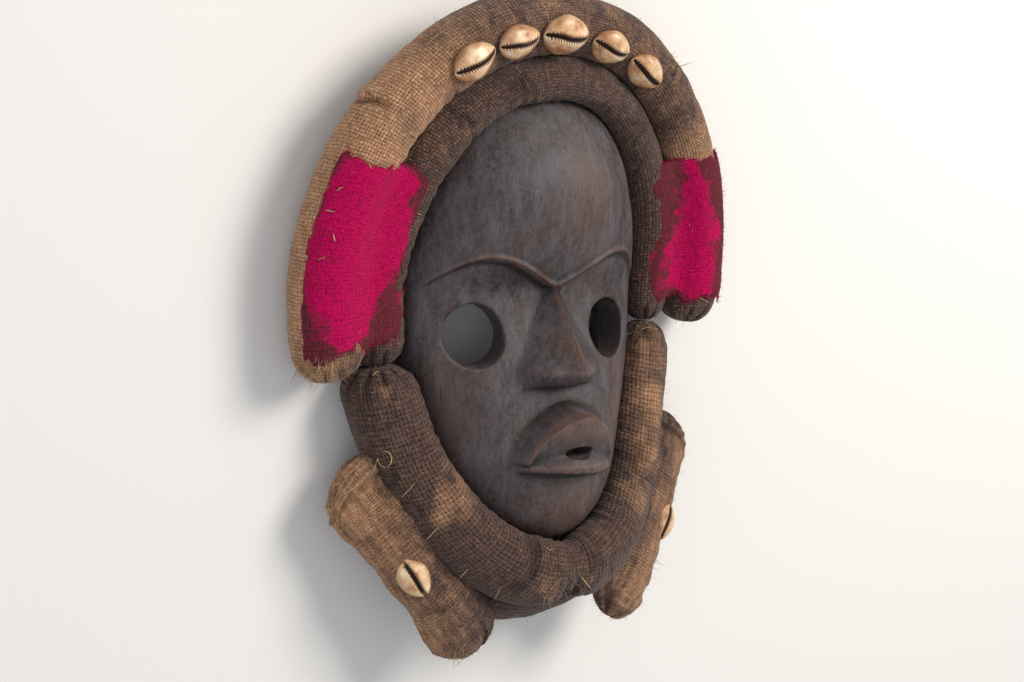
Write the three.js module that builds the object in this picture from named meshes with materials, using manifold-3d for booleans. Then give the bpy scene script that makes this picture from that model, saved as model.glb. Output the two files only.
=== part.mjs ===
// A carved wooden face mask framed by stuffed burlap rolls and pads, with felt patches and cowrie shells sewn on.
// It lies on its back, in millimetres. +Z is the way the face looks, +Y points over the forehead and +X to the
// viewer's right. Left and right in the names are the viewer's.
import * as THREE from "three";
import { mergeVertices } from "three/addons/utils/BufferGeometryUtils.js";
import Module from "manifold-3d";

const wasm = await Module();
wasm.setup();

// Driving dimensions. Places across the face are measured from the line of the eyes, heights from the flat back.
const GAP = 0.4; // clearance where one piece presses on another

const FACE_HALF_WIDTH = 66;
const WIDEST_Y = 18;
const CROWN_Y = 108;
const CHIN_Y = -103;
const JAW_POWER = 0.9; // below 1 is fuller than an ellipse
const FACE_DEPTH = 57; // the deepest swell of the face, without nose and lips
const RIM_HEIGHT = 14; // the upright wall round the edge
const RIM_WIDTH = 9; // the flat back face of that wall
const WOOD_WALL = 8; // thickness of the wood over the hollow

const BACK_SLANT = 15; // degrees; the back is planed off towards the crown and towards the chin
const CROWN_SLANT_Y = 58;
const CHIN_SLANT_Y = -50;

const BROW_Y = 19; // where the two brows meet over the nose
const BROW_RISE = 15;
const BROW_DROP = 1; // how much lower than there they end at the temples
const BROW_PEAK = 1.25; // above 1 moves their highest point outwards
const BROW_RIDGE = 1.4;
const BROW_HALF_WIDTH = 1.8;
const EYE_RECESS = 3; // how deep the face is cut under the brows
const RECESS_EDGE = 3;
const RECESS_FADE_FROM = 12; // below the brows
const RECESS_FADE_TO = 48;
// Holes through the wood: [across, up, half width, half height]. The eyes aren't quite alike.
const LEFT_EYE = [-40.3, -2.2, 13.1, 14.3];
const RIGHT_EYE = [36.3, -4, 14.2, 13.8];
const MOUTH = [0, -55, 7.4, 2.5];

const NOSE_TIP_Y = -18;
const NOSE_BASE_Y = -27;
const NOSE_RISE = 17;
const NOSE_CURVE = 0.68; // below 1 arches the bridge
const NOSE_HALF_WIDTH = 24;
const BRIDGE_HALF_WIDTH = 2.5;
const WING_X = 14;
const WING_Y = -19;
const WING_RISE = 3;
const WING_RADIUS = 7;

const LIP_HALF_WIDTH = 23.5;
const LIP_POWER = 1.7; // 2 would make the crest of the upper lip half an ellipse
const LIP_RISE = 15.5;
const LIP_FALL = 0.53; // how much of that is lost at the corners
const UPPER_LIP_Y = -38;
const LIP_CORNER_Y = -57.5;
const LOWER_LIP_Y = -63.5;
const LIP_SLANT = 0.08; // the lower edge drops towards the viewer's right
const LIP_FOOT = 1.28; // the lips run out into the cheeks this much further out than their crest
const LIP_UNDERCUT = 2.5; // how soon they end below

// Rolls follow the rim. OUT is from the rim to the middle of the roll, LIFT the height of that middle.
const CROWN_LEFT_END = 105; // degrees from the top of the head
const CROWN_RIGHT_END = 101;
const OUTER_CROWN_TOP_SHARE = 0.88; // the crown rolls are thinner over the forehead
const CROWN_RIGHT_SHARE = 0.94; // and a little thinner beside the right ear than beside the left
const INNER_CROWN_RADIUS = 11.8;
const INNER_CROWN_OUT = 15;
const INNER_CROWN_TOP_SHARE = 0.79;
const INNER_CROWN_TOP_OUT = 5.4;
const INNER_CROWN_TOP_LIFT = 34.5;
const INNER_CROWN_PRESS = 2.8; // how far it bulges against the rim of the face
const OUTER_CROWN_RADIUS = 15.6;
const OUTER_CROWN_LIFT = 16.5;
const OUTER_CROWN_TOP_DROP = 0.3; // how much lower than the inner one it lies over the forehead

const EAR_ANGLE = 98;
const FRONT_CHIN_LEFT_END = 104;
const FRONT_CHIN_RIGHT_END = 101;
const FRONT_CHIN_RADIUS = 14;
const FRONT_CHIN_OUT = 12;
const FRONT_CHIN_LIFT = 50;
const LEFT_EAR_RADIUS = 15;
const LEFT_EAR_OUT = 19;
const RIGHT_EAR_RADIUS = 13;
const RIGHT_EAR_OUT = 14.5;
const CHIN_PRESS = 4.5; // how far the front roll bulges against the jaw, under its face side
const JOIN_PINCH = 0.16; // the two ends of the front roll are sewn together under the chin
const JOIN_SPREAD = 5; // degrees

const BACK_CHIN_END = 128;
const BACK_CHIN_RADIUS = 15;
const BACK_CHIN_OUT = 26;
const BACK_CHIN_LIFT = 22;

const PAD_HALF_WIDTH = 19;
const PAD_HALF_DEPTH = 9;
const PAD_TOP_ANGLE = 121;
const PAD_TOP_LIFT = 17;
const PAD_BOTTOM_LIFT = 40;
const LEFT_PAD_TOP_OUT = 43.5;
const LEFT_PAD_BOTTOM_ANGLE = 166;
const LEFT_PAD_BOTTOM_OUT = 51;
const RIGHT_PAD_TOP_OUT = 39.5;
const RIGHT_PAD_BOTTOM_ANGLE = 166;
const RIGHT_PAD_BOTTOM_OUT = 52;

const FELT_THICKNESS = 1.4;
const FELT_SAG = 3; // into the groove between the crown rolls
const FELT_TOP = 61.5; // degrees from the top of the head, at the outer edge
const FELT_TOP_SKEW = 5; // degrees that the top edge climbs towards the face
const FELT_SHORT_OF_END = 4.5; // degrees between the felt and the end of the rolls
const FELT_OUTER_LEAN = 27; // degrees round a roll, from its outer side
const FELT_INNER_LEAN = 160;

const COWRIE_LENGTH = 23.5;
const COWRIE_WIDTH = 16.5;
const COWRIE_DEPTH = 11;
const COWRIE_SINK = 1.5; // how far the shell's middle is pressed into the cloth
const SLIT_WIDTH = 1.5;
const SLIT_DEPTH = 2.2;

const { degToRad, lerp, clamp, smoothstep } = THREE.MathUtils;
const UP = new THREE.Vector3(0, 0, 1);

// Solids and geometry

function solidOf(geometry) {
  const bare = geometry.clone();
  bare.deleteAttribute("normal");
  bare.deleteAttribute("uv");
  const merged = mergeVertices(bare, 1e-4);
  return new wasm.Manifold(
    new wasm.Mesh({
      numProp: 3,
      vertProperties: merged.getAttribute("position").array,
      triVerts: new Uint32Array(merged.index.array),
    }),
  );
}

function geometryOf(solid) {
  const mesh = solid.getMesh();
  const geometry = new THREE.BufferGeometry();
  geometry.setAttribute("position", new THREE.BufferAttribute(mesh.vertProperties, 3));
  geometry.setIndex(new THREE.BufferAttribute(mesh.triVerts, 1));
  geometry.computeVertexNormals();
  return geometry;
}

// A smooth curve through [x, y] points in rising x, read at x: cubic pieces whose slopes are those of the neighbours.
function smoothThrough(points, x) {
  const last = points.length - 1;
  if (x <= points[0][0]) return points[0][1];
  if (x >= points[last][0]) return points[last][1];
  const k = points.findIndex(([px]) => px > x) - 1;
  const slope = (i) => {
    const a = points[Math.max(i - 1, 0)];
    const b = points[Math.min(i + 1, last)];
    return (b[1] - a[1]) / (b[0] - a[0]);
  };
  const [x0, y0] = points[k];
  const [x1, y1] = points[k + 1];
  const span = x1 - x0;
  const t = (x - x0) / span;
  return (
    y0 * (1 + 2 * t) * (1 - t) ** 2 +
    slope(k) * span * t * (1 - t) ** 2 +
    y1 * t * t * (3 - 2 * t) +
    slope(k + 1) * span * t * t * (t - 1)
  );
}

// The outline of the face: half an ellipse above its widest line, and a fuller jaw below it

// A point of the rim, at an angle from the top of the head, clockwise as the viewer sees it.
function rimPoint(angle) {
  const c = Math.cos(angle);
  const s = Math.sin(angle);
  const across = c < 0 ? Math.sign(s) * Math.abs(s) ** JAW_POWER : s;
  const reach = c < 0 ? WIDEST_Y - CHIN_Y : CROWN_Y - WIDEST_Y;
  return new THREE.Vector2(FACE_HALF_WIDTH * across, WIDEST_Y + reach * c);
}

// The same point moved outwards from the rim.
function besideRim(angle, out) {
  const step = 0.02;
  const along = rimPoint(angle + step).sub(rimPoint(angle - step)).normalize();
  return rimPoint(angle).add(new THREE.Vector2(-along.y, along.x).multiplyScalar(out));
}

// How far y is on the way from the widest line to the chin (-1) or the crown (1), with the outline moved out.
function shareOfReach(y, out) {
  return y < WIDEST_Y ? (y - WIDEST_Y) / (WIDEST_Y - CHIN_Y + out) : (y - WIDEST_Y) / (CROWN_Y - WIDEST_Y + out);
}

function halfWidthAt(y, out) {
  const t = shareOfReach(y, out);
  const power = y < WIDEST_Y ? JAW_POWER / 2 : 0.5;
  return (FACE_HALF_WIDTH + out) * Math.max(0, 1 - t * t) ** power;
}

// The carved face, as heights over its flat back

// Middle line of the swell: share of the reach, and share of the depth.
const MIDDLE_LINE = [
  [-1, 0.53], [-0.97, 0.76], [-0.9, 0.91], [-0.8, 0.985], [-0.64, 0.96], [-0.48, 0.88],
  [-0.27, 0.78], [-0.1, 0.71], [0.01, 0.705], [0.12, 0.79], [0.3, 0.88], [0.5, 0.91],
  [0.7, 0.84], [0.86, 0.7], [0.96, 0.56], [1, 0.48],
];
const SIDE_POWER = 0.58; // how fully the cheeks are rounded

function swell(x, y, out) {
  const beside = Math.abs(x) / Math.max(halfWidthAt(y, out), 1e-6);
  const side = (1 - Math.min(beside, 1) ** 2) ** SIDE_POWER;
  return { side, middle: FACE_DEPTH * smoothThrough(MIDDLE_LINE, shareOfReach(y, out)) };
}

function backHeight(y) {
  return Math.max(0, y - CROWN_SLANT_Y, CHIN_SLANT_Y - y) * Math.tan(degToRad(BACK_SLANT));
}

// Height of a brow's crest across the face: up from the nose, over the eye and down to the temple.
function browLine(x) {
  const share = Math.min(Math.abs(x) / FACE_HALF_WIDTH, 1);
  return BROW_Y + BROW_RISE * Math.sin(Math.PI * share ** BROW_PEAK) - BROW_DROP * share * share;
}

function browRelief(x, y) {
  const below = browLine(x) - y;
  const ridge = BROW_RIDGE * Math.exp(-((below / BROW_HALF_WIDTH) ** 2));
  const fade = smoothstep(below, RECESS_FADE_FROM, RECESS_FADE_TO);
  const recess = EYE_RECESS * smoothstep(below, 0, RECESS_EDGE) * (1 - fade);
  return ridge - recess;
}

// The bridge rises from between the brows to the tip, its flanks widen towards the wings, and below the tip it rounds
// in under itself.
function noseRelief(x, y) {
  const down = (BROW_Y - y) / (BROW_Y - NOSE_TIP_Y);
  if (down <= 0) return 0;
  const under = clamp((NOSE_TIP_Y - y) / (NOSE_TIP_Y - NOSE_BASE_Y), 0, 1);
  const halfWidth = lerp(BRIDGE_HALF_WIDTH, NOSE_HALF_WIDTH, Math.min(down, 1));
  const flank = Math.max(0, 1 - Math.abs(x) / halfWidth) ** 1.2;
  const fromWing = Math.hypot(Math.abs(x) - WING_X, y - WING_Y) / WING_RADIUS;
  const ridge = (NOSE_RISE * Math.min(down, 1) ** NOSE_CURVE + EYE_RECESS) * flank;
  return (ridge + WING_RISE * Math.exp(-(fromWing ** 2))) * (1 - under ** 1.8);
}

// Down the lips from the crest of the upper one (0) to the edge of the lower one (1): share of the lips' rise.
const LIP_SECTION = [[0, 1], [0.25, 0.86], [0.5, 0.6], [0.68, 0.48], [0.88, 0.74], [1, 0.7]];

// The crest of the upper lip, from corner to corner.
function lipCrest(x) {
  const within = Math.min(Math.abs(x) / LIP_HALF_WIDTH, 1);
  return LIP_CORNER_Y + (UPPER_LIP_Y - LIP_CORNER_Y) * (1 - within ** LIP_POWER) ** (1 / LIP_POWER);
}

function lipRelief(x, y) {
  const across = Math.abs(x) / LIP_HALF_WIDTH;
  const up = Math.max(0, y - LIP_CORNER_Y) / (UPPER_LIP_Y - LIP_CORNER_Y);
  const reach = (across ** LIP_POWER + up ** LIP_POWER) ** (1 / LIP_POWER);
  const foot = clamp((LIP_FOOT - reach) / (LIP_FOOT - 1), 0, 1) ** 1.3;
  const within = Math.min(across, 1);
  const top = lipCrest(x);
  const bottom = LOWER_LIP_Y - LIP_SLANT * x;
  const section = smoothThrough(LIP_SECTION, (top - y) / (top - bottom));
  const under = clamp(1 - (bottom - y) / LIP_UNDERCUT, 0, 1);
  return LIP_RISE * (1 - LIP_FALL * within ** 2) * section * foot * under;
}

function faceHeight(x, y) {
  const { side, middle } = swell(x, y, 0);
  const rim = RIM_HEIGHT + backHeight(y);
  const relief = browRelief(x, y) + noseRelief(x, y) + lipRelief(x, y);
  return rim + (middle - rim + relief) * side;
}

function hollowHeight(x, y) {
  const { side, middle } = swell(x, y, -RIM_WIDTH);
  return (middle - WOOD_WALL) * side;
}

// A height somewhat over the face, for a block that makes room for it in the rolls.
const ROOM = 3 * GAP;

function roomHeight(x, y) {
  const { side, middle } = swell(x, y, ROOM);
  const rim = RIM_HEIGHT + backHeight(y);
  return rim + (middle - rim) * side + ROOM;
}

// A box whose top is carved to a height over each point. place spreads its grid of columns and rows over the face.
function carvedBlock({ columns, rows, place, height, bottom }) {
  const box = new THREE.BoxGeometry(2, 2, 2, columns, rows, 1);
  const position = box.getAttribute("position");
  for (let i = 0; i < position.count; i++) {
    const [x, y] = place(position.getX(i), position.getY(i));
    position.setXYZ(i, x, y, position.getZ(i) > 0 ? height(x, y) : bottom);
  }
  return solidOf(box);
}

// Columns crowd towards the middle and towards the rim.
const spread = (u) => 0.5 * u + 1.3 * u ** 3 - 0.8 * u ** 5;

const TIP = 0.4; // the grid stops this short of the crown and the chin, where the outline has no width

// Rows of the carving, from chin to crown: [from, to, how many, how they crowd]. They are close where it is fine.
const evenly = (t) => t;
const ROW_BANDS = [
  [CHIN_Y + TIP, LOWER_LIP_Y - 5, 7, (t) => t * t],
  [LOWER_LIP_Y - 5, LOWER_LIP_Y, 4, evenly],
  [LOWER_LIP_Y, UPPER_LIP_Y, 10, evenly],
  [UPPER_LIP_Y, NOSE_BASE_Y - 1, 4, (t) => t ** 1.2],
  [NOSE_BASE_Y - 1, NOSE_TIP_Y + 1, 4, evenly],
  [NOSE_TIP_Y + 1, BROW_Y - 5, 5, evenly],
  [BROW_Y - 5, BROW_Y + 3, 5, evenly],
  [BROW_Y + 3, CROWN_Y - TIP, 11, (t) => 1 - (1 - t) ** 1.7],
];
const ROW_LEVELS = [ROW_BANDS[0][0]];
for (const [from, to, count, crowd] of ROW_BANDS) {
  for (let i = 1; i <= count; i++) ROW_LEVELS.push(lerp(from, to, crowd(i / count)));
}

// Columns run parallel to the rim. Rows near the brows follow the brows, and rows near the lips the upper lip's crest.
function placeOnFace(u, v) {
  const level = ROW_LEVELS[Math.round(((v + 1) / 2) * (ROW_LEVELS.length - 1))];
  const browLimit = level > BROW_Y ? CROWN_Y - TIP : NOSE_TIP_Y;
  const browBend = clamp((browLimit - level) / (browLimit - BROW_Y), 0, 1);
  const lipLimit = level > UPPER_LIP_Y ? NOSE_BASE_Y : LOWER_LIP_Y;
  const lipBend = clamp((lipLimit - level) / (lipLimit - UPPER_LIP_Y), 0, 1);
  const atBrow = level + browBend * (browLine(spread(u) * FACE_HALF_WIDTH) - BROW_Y);
  let y = atBrow;
  for (let i = 0; i < 3; i++) {
    y = atBrow + lipBend * (lipCrest(spread(u) * halfWidthAt(y, 0)) - UPPER_LIP_Y);
  }
  return [spread(u) * halfWidthAt(y, 0), y];
}

// A plainer grid over the same outline moved out, for the hollow and the room in the rolls.
function plainGrid(out) {
  return (u, v) => {
    const towardsCrown = Math.cos(((1 - v) / 2) * Math.PI);
    const reach = (towardsCrown < 0 ? WIDEST_Y - CHIN_Y : CROWN_Y - WIDEST_Y) + out - TIP;
    const y = WIDEST_Y + towardsCrown * reach;
    return [spread(u) * halfWidthAt(y, out), y];
  };
}

// An upright rod through the wood with the outline of an ellipse.
function ovalRod(x, y, halfWidth, halfHeight) {
  const outline = new THREE.Shape().absellipse(x, y, halfWidth, halfHeight, 0, 2 * Math.PI);
  const depth = FACE_DEPTH + NOSE_RISE + LIP_RISE;
  const rod = new THREE.ExtrudeGeometry(outline, { depth, bevelEnabled: false, curveSegments: 14 });
  return solidOf(rod.translate(0, 0, -GAP));
}

// What is planed off the back beyond y; direction 1 is towards the crown and -1 towards the chin.
function backSlant(y, direction) {
  const size = 4 * FACE_HALF_WIDTH;
  const block = new THREE.BoxGeometry(size, size, size).translate(0, (direction * size) / 2, -size / 2);
  return solidOf(block.rotateX(direction * degToRad(BACK_SLANT)).translate(0, y, 0));
}

function woodenFace() {
  const rows = ROW_LEVELS.length - 1;
  let wood = carvedBlock({ columns: 24, rows, place: placeOnFace, height: faceHeight, bottom: 0 });
  const place = plainGrid(-RIM_WIDTH);
  wood = wood.subtract(carvedBlock({ columns: 10, rows: 14, place, height: hollowHeight, bottom: -1 }));
  for (const hole of [LEFT_EYE, RIGHT_EYE, MOUTH]) {
    wood = wood.subtract(ovalRod(...hole));
  }
  return wood.subtract(backSlant(CROWN_SLANT_Y, 1)).subtract(backSlant(CHIN_SLANT_Y, -1));
}

// Stuffed rolls

// A line round the rim from one angle to another; out and lift give its distance from the rim and its height.
class RimLine extends THREE.Curve {
  constructor(from, to, out, lift) {
    super();
    Object.assign(this, { from, to, out, lift });
  }
  angleAt(t) {
    return degToRad(lerp(this.from, this.to, t));
  }
  getPoint(t) {
    const angle = this.angleAt(t);
    const beside = besideRim(angle, this.out(angle));
    return new THREE.Vector3(beside.x, beside.y, this.lift(angle));
  }
}

// The cross axes of a line at t: across it, and square to both, near up.
function axesAt(line, t, up) {
  const forward = line.getTangent(t);
  const across = new THREE.Vector3().crossVectors(forward, up).normalize();
  return { forward, across, lifted: new THREE.Vector3().crossVectors(across, forward) };
}

const BULGE_TURN = degToRad(150); // away from across, and somewhat down

// A stuffed tube along a line with closed ends: a sphere's grid, with its poles at the ends of the line.
// corner below 1 makes the ends squarer, and bulge pushes the side away from across, and down, further out.
// Nothing goes under the floor.
function stuffedTube({ line, around, along, halfWidth, halfDepth, endLength, corner = 1, bulge = 0, up = UP }) {
  const grid = new THREE.SphereGeometry(1, around, along);
  const position = grid.getAttribute("position");
  const length = line.getLength();
  for (let i = 0; i < position.count; i++) {
    const polar = Math.acos(clamp(position.getY(i), -1, 1)) / Math.PI;
    const turn = Math.atan2(-position.getZ(i), position.getX(i));
    const t = lerp(polar, (1 - Math.cos(Math.PI * polar)) / 2, 0.5);
    const fromEnd = clamp((Math.min(t, 1 - t) * length) / endLength, 0, 1);
    const fullness = Math.sqrt(1 - (1 - fromEnd) ** 2);
    const { across, lifted } = axesAt(line, t, up);
    const push = bulge * Math.max(0, Math.cos(turn + BULGE_TURN)) ** 2;
    const point = line
      .getPoint(t)
      .addScaledVector(across, (halfWidth(t) + push) * fullness ** corner * Math.cos(turn))
      .addScaledVector(lifted, (halfDepth(t) + push) * fullness * Math.sin(turn));
    position.setXYZ(i, point.x, point.y, Math.max(point.z, 0));
  }
  return solidOf(grid);
}

// A roll is { line, radius, along, bulge }: radius is read at an angle. extra makes it thicker all round.
function rollSolid({ line, radius, along, bulge }, extra) {
  const thickness = (t) => radius(line.angleAt(t)) + extra;
  return stuffedTube({
    line,
    around: 10,
    along,
    halfWidth: thickness,
    halfDepth: thickness,
    endLength: thickness(0),
    bulge,
  });
}

// overHead is 1 at the top of the head and 0 at the ears, besideEars the other way round.
const overHead = (angle) => Math.max(Math.cos(angle), 0) ** 1.3;
const besideEars = (angle) => Math.abs(Math.sin(angle)) ** 1.6;
const crownShare = (angle, topShare) => lerp(topShare, angle < 0 ? 1 : CROWN_RIGHT_SHARE, besideEars(angle));

const innerCrownRadius = (angle) => INNER_CROWN_RADIUS * crownShare(angle, INNER_CROWN_TOP_SHARE);
const outerCrownRadius = (angle) => OUTER_CROWN_RADIUS * crownShare(angle, OUTER_CROWN_TOP_SHARE);
const innerCrownOut = (angle) => lerp(INNER_CROWN_TOP_OUT, INNER_CROWN_OUT, besideEars(angle));
const outerCrownOut = (angle) =>
  innerCrownOut(angle) + innerCrownRadius(angle) + outerCrownRadius(angle) + GAP;
const innerCrownLift = (angle) => lerp(INNER_CROWN_RADIUS, INNER_CROWN_TOP_LIFT, overHead(angle));
const outerCrownLift = (angle) => lerp(OUTER_CROWN_LIFT, INNER_CROWN_TOP_LIFT - OUTER_CROWN_TOP_DROP, overHead(angle));

const innerCrown = {
  line: new RimLine(-CROWN_LEFT_END, CROWN_RIGHT_END, innerCrownOut, innerCrownLift),
  radius: innerCrownRadius,
  along: 30,
  bulge: INNER_CROWN_PRESS,
};
const outerCrown = {
  line: new RimLine(-CROWN_LEFT_END, CROWN_RIGHT_END, outerCrownOut, outerCrownLift),
  radius: outerCrownRadius,
  along: 32,
};

// 0 at the ears and 1 under the chin, for angles that run on past the chin.
function underChin(angle) {
  return smoothstep(Math.PI - Math.abs(Math.PI - Math.abs(angle)), degToRad(EAR_ANGLE), Math.PI);
}

function frontChinRadius(angle) {
  const ear = Math.sin(angle) < 0 ? LEFT_EAR_RADIUS : RIGHT_EAR_RADIUS;
  const fromJoin = (Math.PI - Math.abs(angle)) / degToRad(JOIN_SPREAD);
  const pinch = JOIN_PINCH * Math.exp(-(fromJoin ** 2));
  return lerp(ear, FRONT_CHIN_RADIUS, underChin(angle)) * (1 - pinch);
}

function frontChinOut(angle) {
  return lerp(Math.sin(angle) < 0 ? LEFT_EAR_OUT : RIGHT_EAR_OUT, FRONT_CHIN_OUT, underChin(angle));
}

const frontChin = {
  line: new RimLine(-FRONT_CHIN_LEFT_END, FRONT_CHIN_RIGHT_END - 360, frontChinOut, (angle) =>
    lerp(FRONT_CHIN_RADIUS, FRONT_CHIN_LIFT, underChin(angle)),
  ),
  radius: frontChinRadius,
  along: 30,
  bulge: CHIN_PRESS,
};
const backChin = {
  line: new RimLine(-BACK_CHIN_END, BACK_CHIN_END - 360, () => BACK_CHIN_OUT, (angle) =>
    lerp(BACK_CHIN_RADIUS, BACK_CHIN_LIFT, underChin(angle)),
  ),
  radius: () => BACK_CHIN_RADIUS,
  along: 20,
};

// Pads beside the chin

function padLine(side) {
  const place = (degrees, out, lift) => {
    const beside = besideRim(side * degToRad(degrees), out);
    return new THREE.Vector3(beside.x, beside.y, lift);
  };
  const [topOut, bottomAngle, bottomOut] =
    side < 0
      ? [LEFT_PAD_TOP_OUT, LEFT_PAD_BOTTOM_ANGLE, LEFT_PAD_BOTTOM_OUT]
      : [RIGHT_PAD_TOP_OUT, RIGHT_PAD_BOTTOM_ANGLE, RIGHT_PAD_BOTTOM_OUT];
  const top = place(PAD_TOP_ANGLE, topOut, PAD_TOP_LIFT);
  return new THREE.LineCurve3(top, place(bottomAngle, bottomOut, PAD_BOTTOM_LIFT));
}

const padUp = (side) => new THREE.Vector3(side * 0.19, 0.14, 0.96);

function padSolid(side, extra) {
  return stuffedTube({
    line: padLine(side),
    around: 14,
    along: 12,
    halfWidth: () => PAD_HALF_WIDTH + extra,
    halfDepth: () => PAD_HALF_DEPTH + extra,
    endLength: 1.2 * PAD_HALF_DEPTH,
    corner: 0.45,
    up: padUp(side),
  });
}

// Felt drawn over both crown rolls

// A point over both rolls. across runs from the outer roll's outer side (0) to the inner roll's face side (1):
// round the outer roll, straight over the groove with some sag, and round the inner roll. height is over the cloth.
function overCrownRolls(angle, across, height) {
  const outer = new THREE.Vector2(outerCrownOut(angle), outerCrownLift(angle));
  const inner = new THREE.Vector2(innerCrownOut(angle), innerCrownLift(angle));
  const [outerRadius, innerRadius] = [outerCrownRadius(angle), innerCrownRadius(angle)];
  const apart = outer.clone().sub(inner);
  const bridgeLean = apart.angle() + Math.acos((innerRadius - outerRadius) / apart.length());
  const outerArc = (bridgeLean - degToRad(FELT_OUTER_LEAN)) * outerRadius;
  const bridge = apart.length() * Math.sin(bridgeLean - apart.angle());
  const innerArc = (degToRad(FELT_INNER_LEAN) - bridgeLean) * innerRadius;
  const run = across * (outerArc + bridge + innerArc);

  let centre = outer;
  let reach = outerRadius + height;
  let lean = bridgeLean;
  if (run < outerArc) {
    lean = degToRad(FELT_OUTER_LEAN) + run / outerRadius;
  } else if (run < outerArc + bridge) {
    const share = (run - outerArc) / bridge;
    centre = outer.clone().lerp(inner, share);
    reach = lerp(outerRadius, innerRadius, share) - FELT_SAG * Math.sin(Math.PI * share) ** 2 + height;
  } else {
    centre = inner;
    reach = innerRadius + height;
    lean = bridgeLean + (run - outerArc - bridge) / innerRadius;
  }
  const beside = besideRim(angle, centre.x + reach * Math.cos(lean));
  return new THREE.Vector3(beside.x, beside.y, centre.y + reach * Math.sin(lean));
}

function feltPatch(side) {
  const rollEnd = side < 0 ? CROWN_LEFT_END : CROWN_RIGHT_END;
  const box = new THREE.BoxGeometry(2, 2, 2, 10, 7, 1);
  const position = box.getAttribute("position");
  for (let i = 0; i < position.count; i++) {
    const across = (1 - side * position.getX(i)) / 2;
    const top = FELT_TOP - FELT_TOP_SKEW * across;
    const degrees = lerp(top, rollEnd - FELT_SHORT_OF_END, (1 - position.getY(i)) / 2);
    const height = 3 * GAP + (position.getZ(i) > 0 ? FELT_THICKNESS : 0);
    const point = overCrownRolls(side * degToRad(degrees), across, height);
    position.setXYZ(i, point.x, point.y, point.z);
  }
  return solidOf(box);
}

// Cowrie shells, slit side out

// frame turns the shell's own axes (x across, y along the slit, z out of the cloth) into the part's.
function cowrieSolid(frame, size) {
  const egg = new THREE.SphereGeometry(1, 9, 7);
  const position = egg.getAttribute("position");
  for (let i = 0; i < position.count; i++) {
    const y = position.getY(i);
    const width = (COWRIE_WIDTH / 2) * (1 - 0.16 * y);
    position.setXYZ(i, position.getX(i) * width, (y * COWRIE_LENGTH) / 2, (position.getZ(i) * COWRIE_DEPTH) / 2);
  }
  const outline = new THREE.Shape().absellipse(0, 0, SLIT_WIDTH / 2, 0.43 * COWRIE_LENGTH, 0, 2 * Math.PI);
  const slit = new THREE.ExtrudeGeometry(outline, { depth: COWRIE_DEPTH, bevelEnabled: false, curveSegments: 3 });
  slit.translate(0, 0, COWRIE_DEPTH / 2 - SLIT_DEPTH);
  const shell = solidOf(egg).subtract(solidOf(slit));
  return shell.scale(size).transform(frame.elements);
}

function frameAt(point, { forward, across, lifted }) {
  return new THREE.Matrix4().makeBasis(across, forward, lifted).setPosition(point);
}

// On the outer crown roll, at degrees from the top of the head and leaning off its crest towards the face.
function crownCowrieFrame(degrees, leanDegrees) {
  const { line } = outerCrown;
  const t = (degrees + CROWN_LEFT_END) / (CROWN_LEFT_END + CROWN_RIGHT_END);
  const { forward, across, lifted } = axesAt(line, t, UP);
  const lean = degToRad(leanDegrees);
  const out = lifted.clone().multiplyScalar(Math.cos(lean)).addScaledVector(across, Math.sin(lean));
  const sideways = new THREE.Vector3().crossVectors(forward, out);
  const middle = line.getPoint(t).addScaledVector(out, outerCrownRadius(degToRad(degrees)) + COWRIE_SINK);
  return frameAt(middle, { forward, across: sideways, lifted: out });
}

// On a pad, a share of the way down it, where the pad's oval section faces leanDegrees outwards.
function padCowrieFrame(side, share, leanDegrees) {
  const line = padLine(side);
  const { forward, across, lifted } = axesAt(line, share, padUp(side));
  const lean = degToRad(leanDegrees);
  const outwards = across.clone().multiplyScalar(-side);
  const out = lifted.clone().multiplyScalar(Math.cos(lean)).addScaledVector(outwards, Math.sin(lean));
  const turn = Math.atan2(PAD_HALF_DEPTH * Math.cos(lean), PAD_HALF_WIDTH * Math.sin(lean));
  const middle = line
    .getPoint(share)
    .addScaledVector(outwards, PAD_HALF_WIDTH * Math.cos(turn))
    .addScaledVector(lifted, PAD_HALF_DEPTH * Math.sin(turn))
    .addScaledVector(out, COWRIE_SINK);
  return frameAt(middle, { forward, across: new THREE.Vector3().crossVectors(forward, out), lifted: out });
}

// Assembly

const BURLAP_DARK = { color: "#4a3a2c", roughness: 0.95 };
const BURLAP_TAN = { color: "#8a6d49", roughness: 0.95 };
const FELT = { color: "#b01560", roughness: 1 };
const SHELL = { color: "#e0c9a0", roughness: 0.35 };

const root = new THREE.Group();

function add(name, solid, look) {
  const mesh = new THREE.Mesh(geometryOf(solid), new THREE.MeshStandardMaterial({ ...look, metalness: 0 }));
  mesh.name = name;
  root.add(mesh);
}

const cutBy = (solid, others) => others.reduce((rest, other) => rest.subtract(other), solid);

const room = carvedBlock({ columns: 14, rows: 18, place: plainGrid(ROOM), height: roomHeight, bottom: -1 });
const thickInner = rollSolid(innerCrown, GAP);
const thickOuter = rollSolid(outerCrown, GAP);
const thickFrontChin = rollSolid(frontChin, GAP);
const thickBackChin = rollSolid(backChin, GAP);
const thickPad = (side) => padSolid(side, GAP);

add("wooden_face", woodenFace(), { color: "#3a3330", roughness: 0.45 });
add("inner_crown_roll", cutBy(rollSolid(innerCrown, 0), [room]), BURLAP_DARK);
add("outer_crown_roll", cutBy(rollSolid(outerCrown, 0), [thickInner]), BURLAP_TAN);
add("front_chin_roll", cutBy(rollSolid(frontChin, 0), [room, thickInner, thickOuter]), BURLAP_DARK);
add("back_chin_roll", cutBy(rollSolid(backChin, 0), [room, thickFrontChin]), BURLAP_DARK);

for (const [name, side] of [["left", -1], ["right", 1]]) {
  add(name + "_side_pad", cutBy(padSolid(side, 0), [thickFrontChin, thickBackChin]), BURLAP_TAN);
  add(name + "_felt_patch", cutBy(feltPatch(side), [room, thickInner, thickOuter]), FELT);
}

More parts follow.
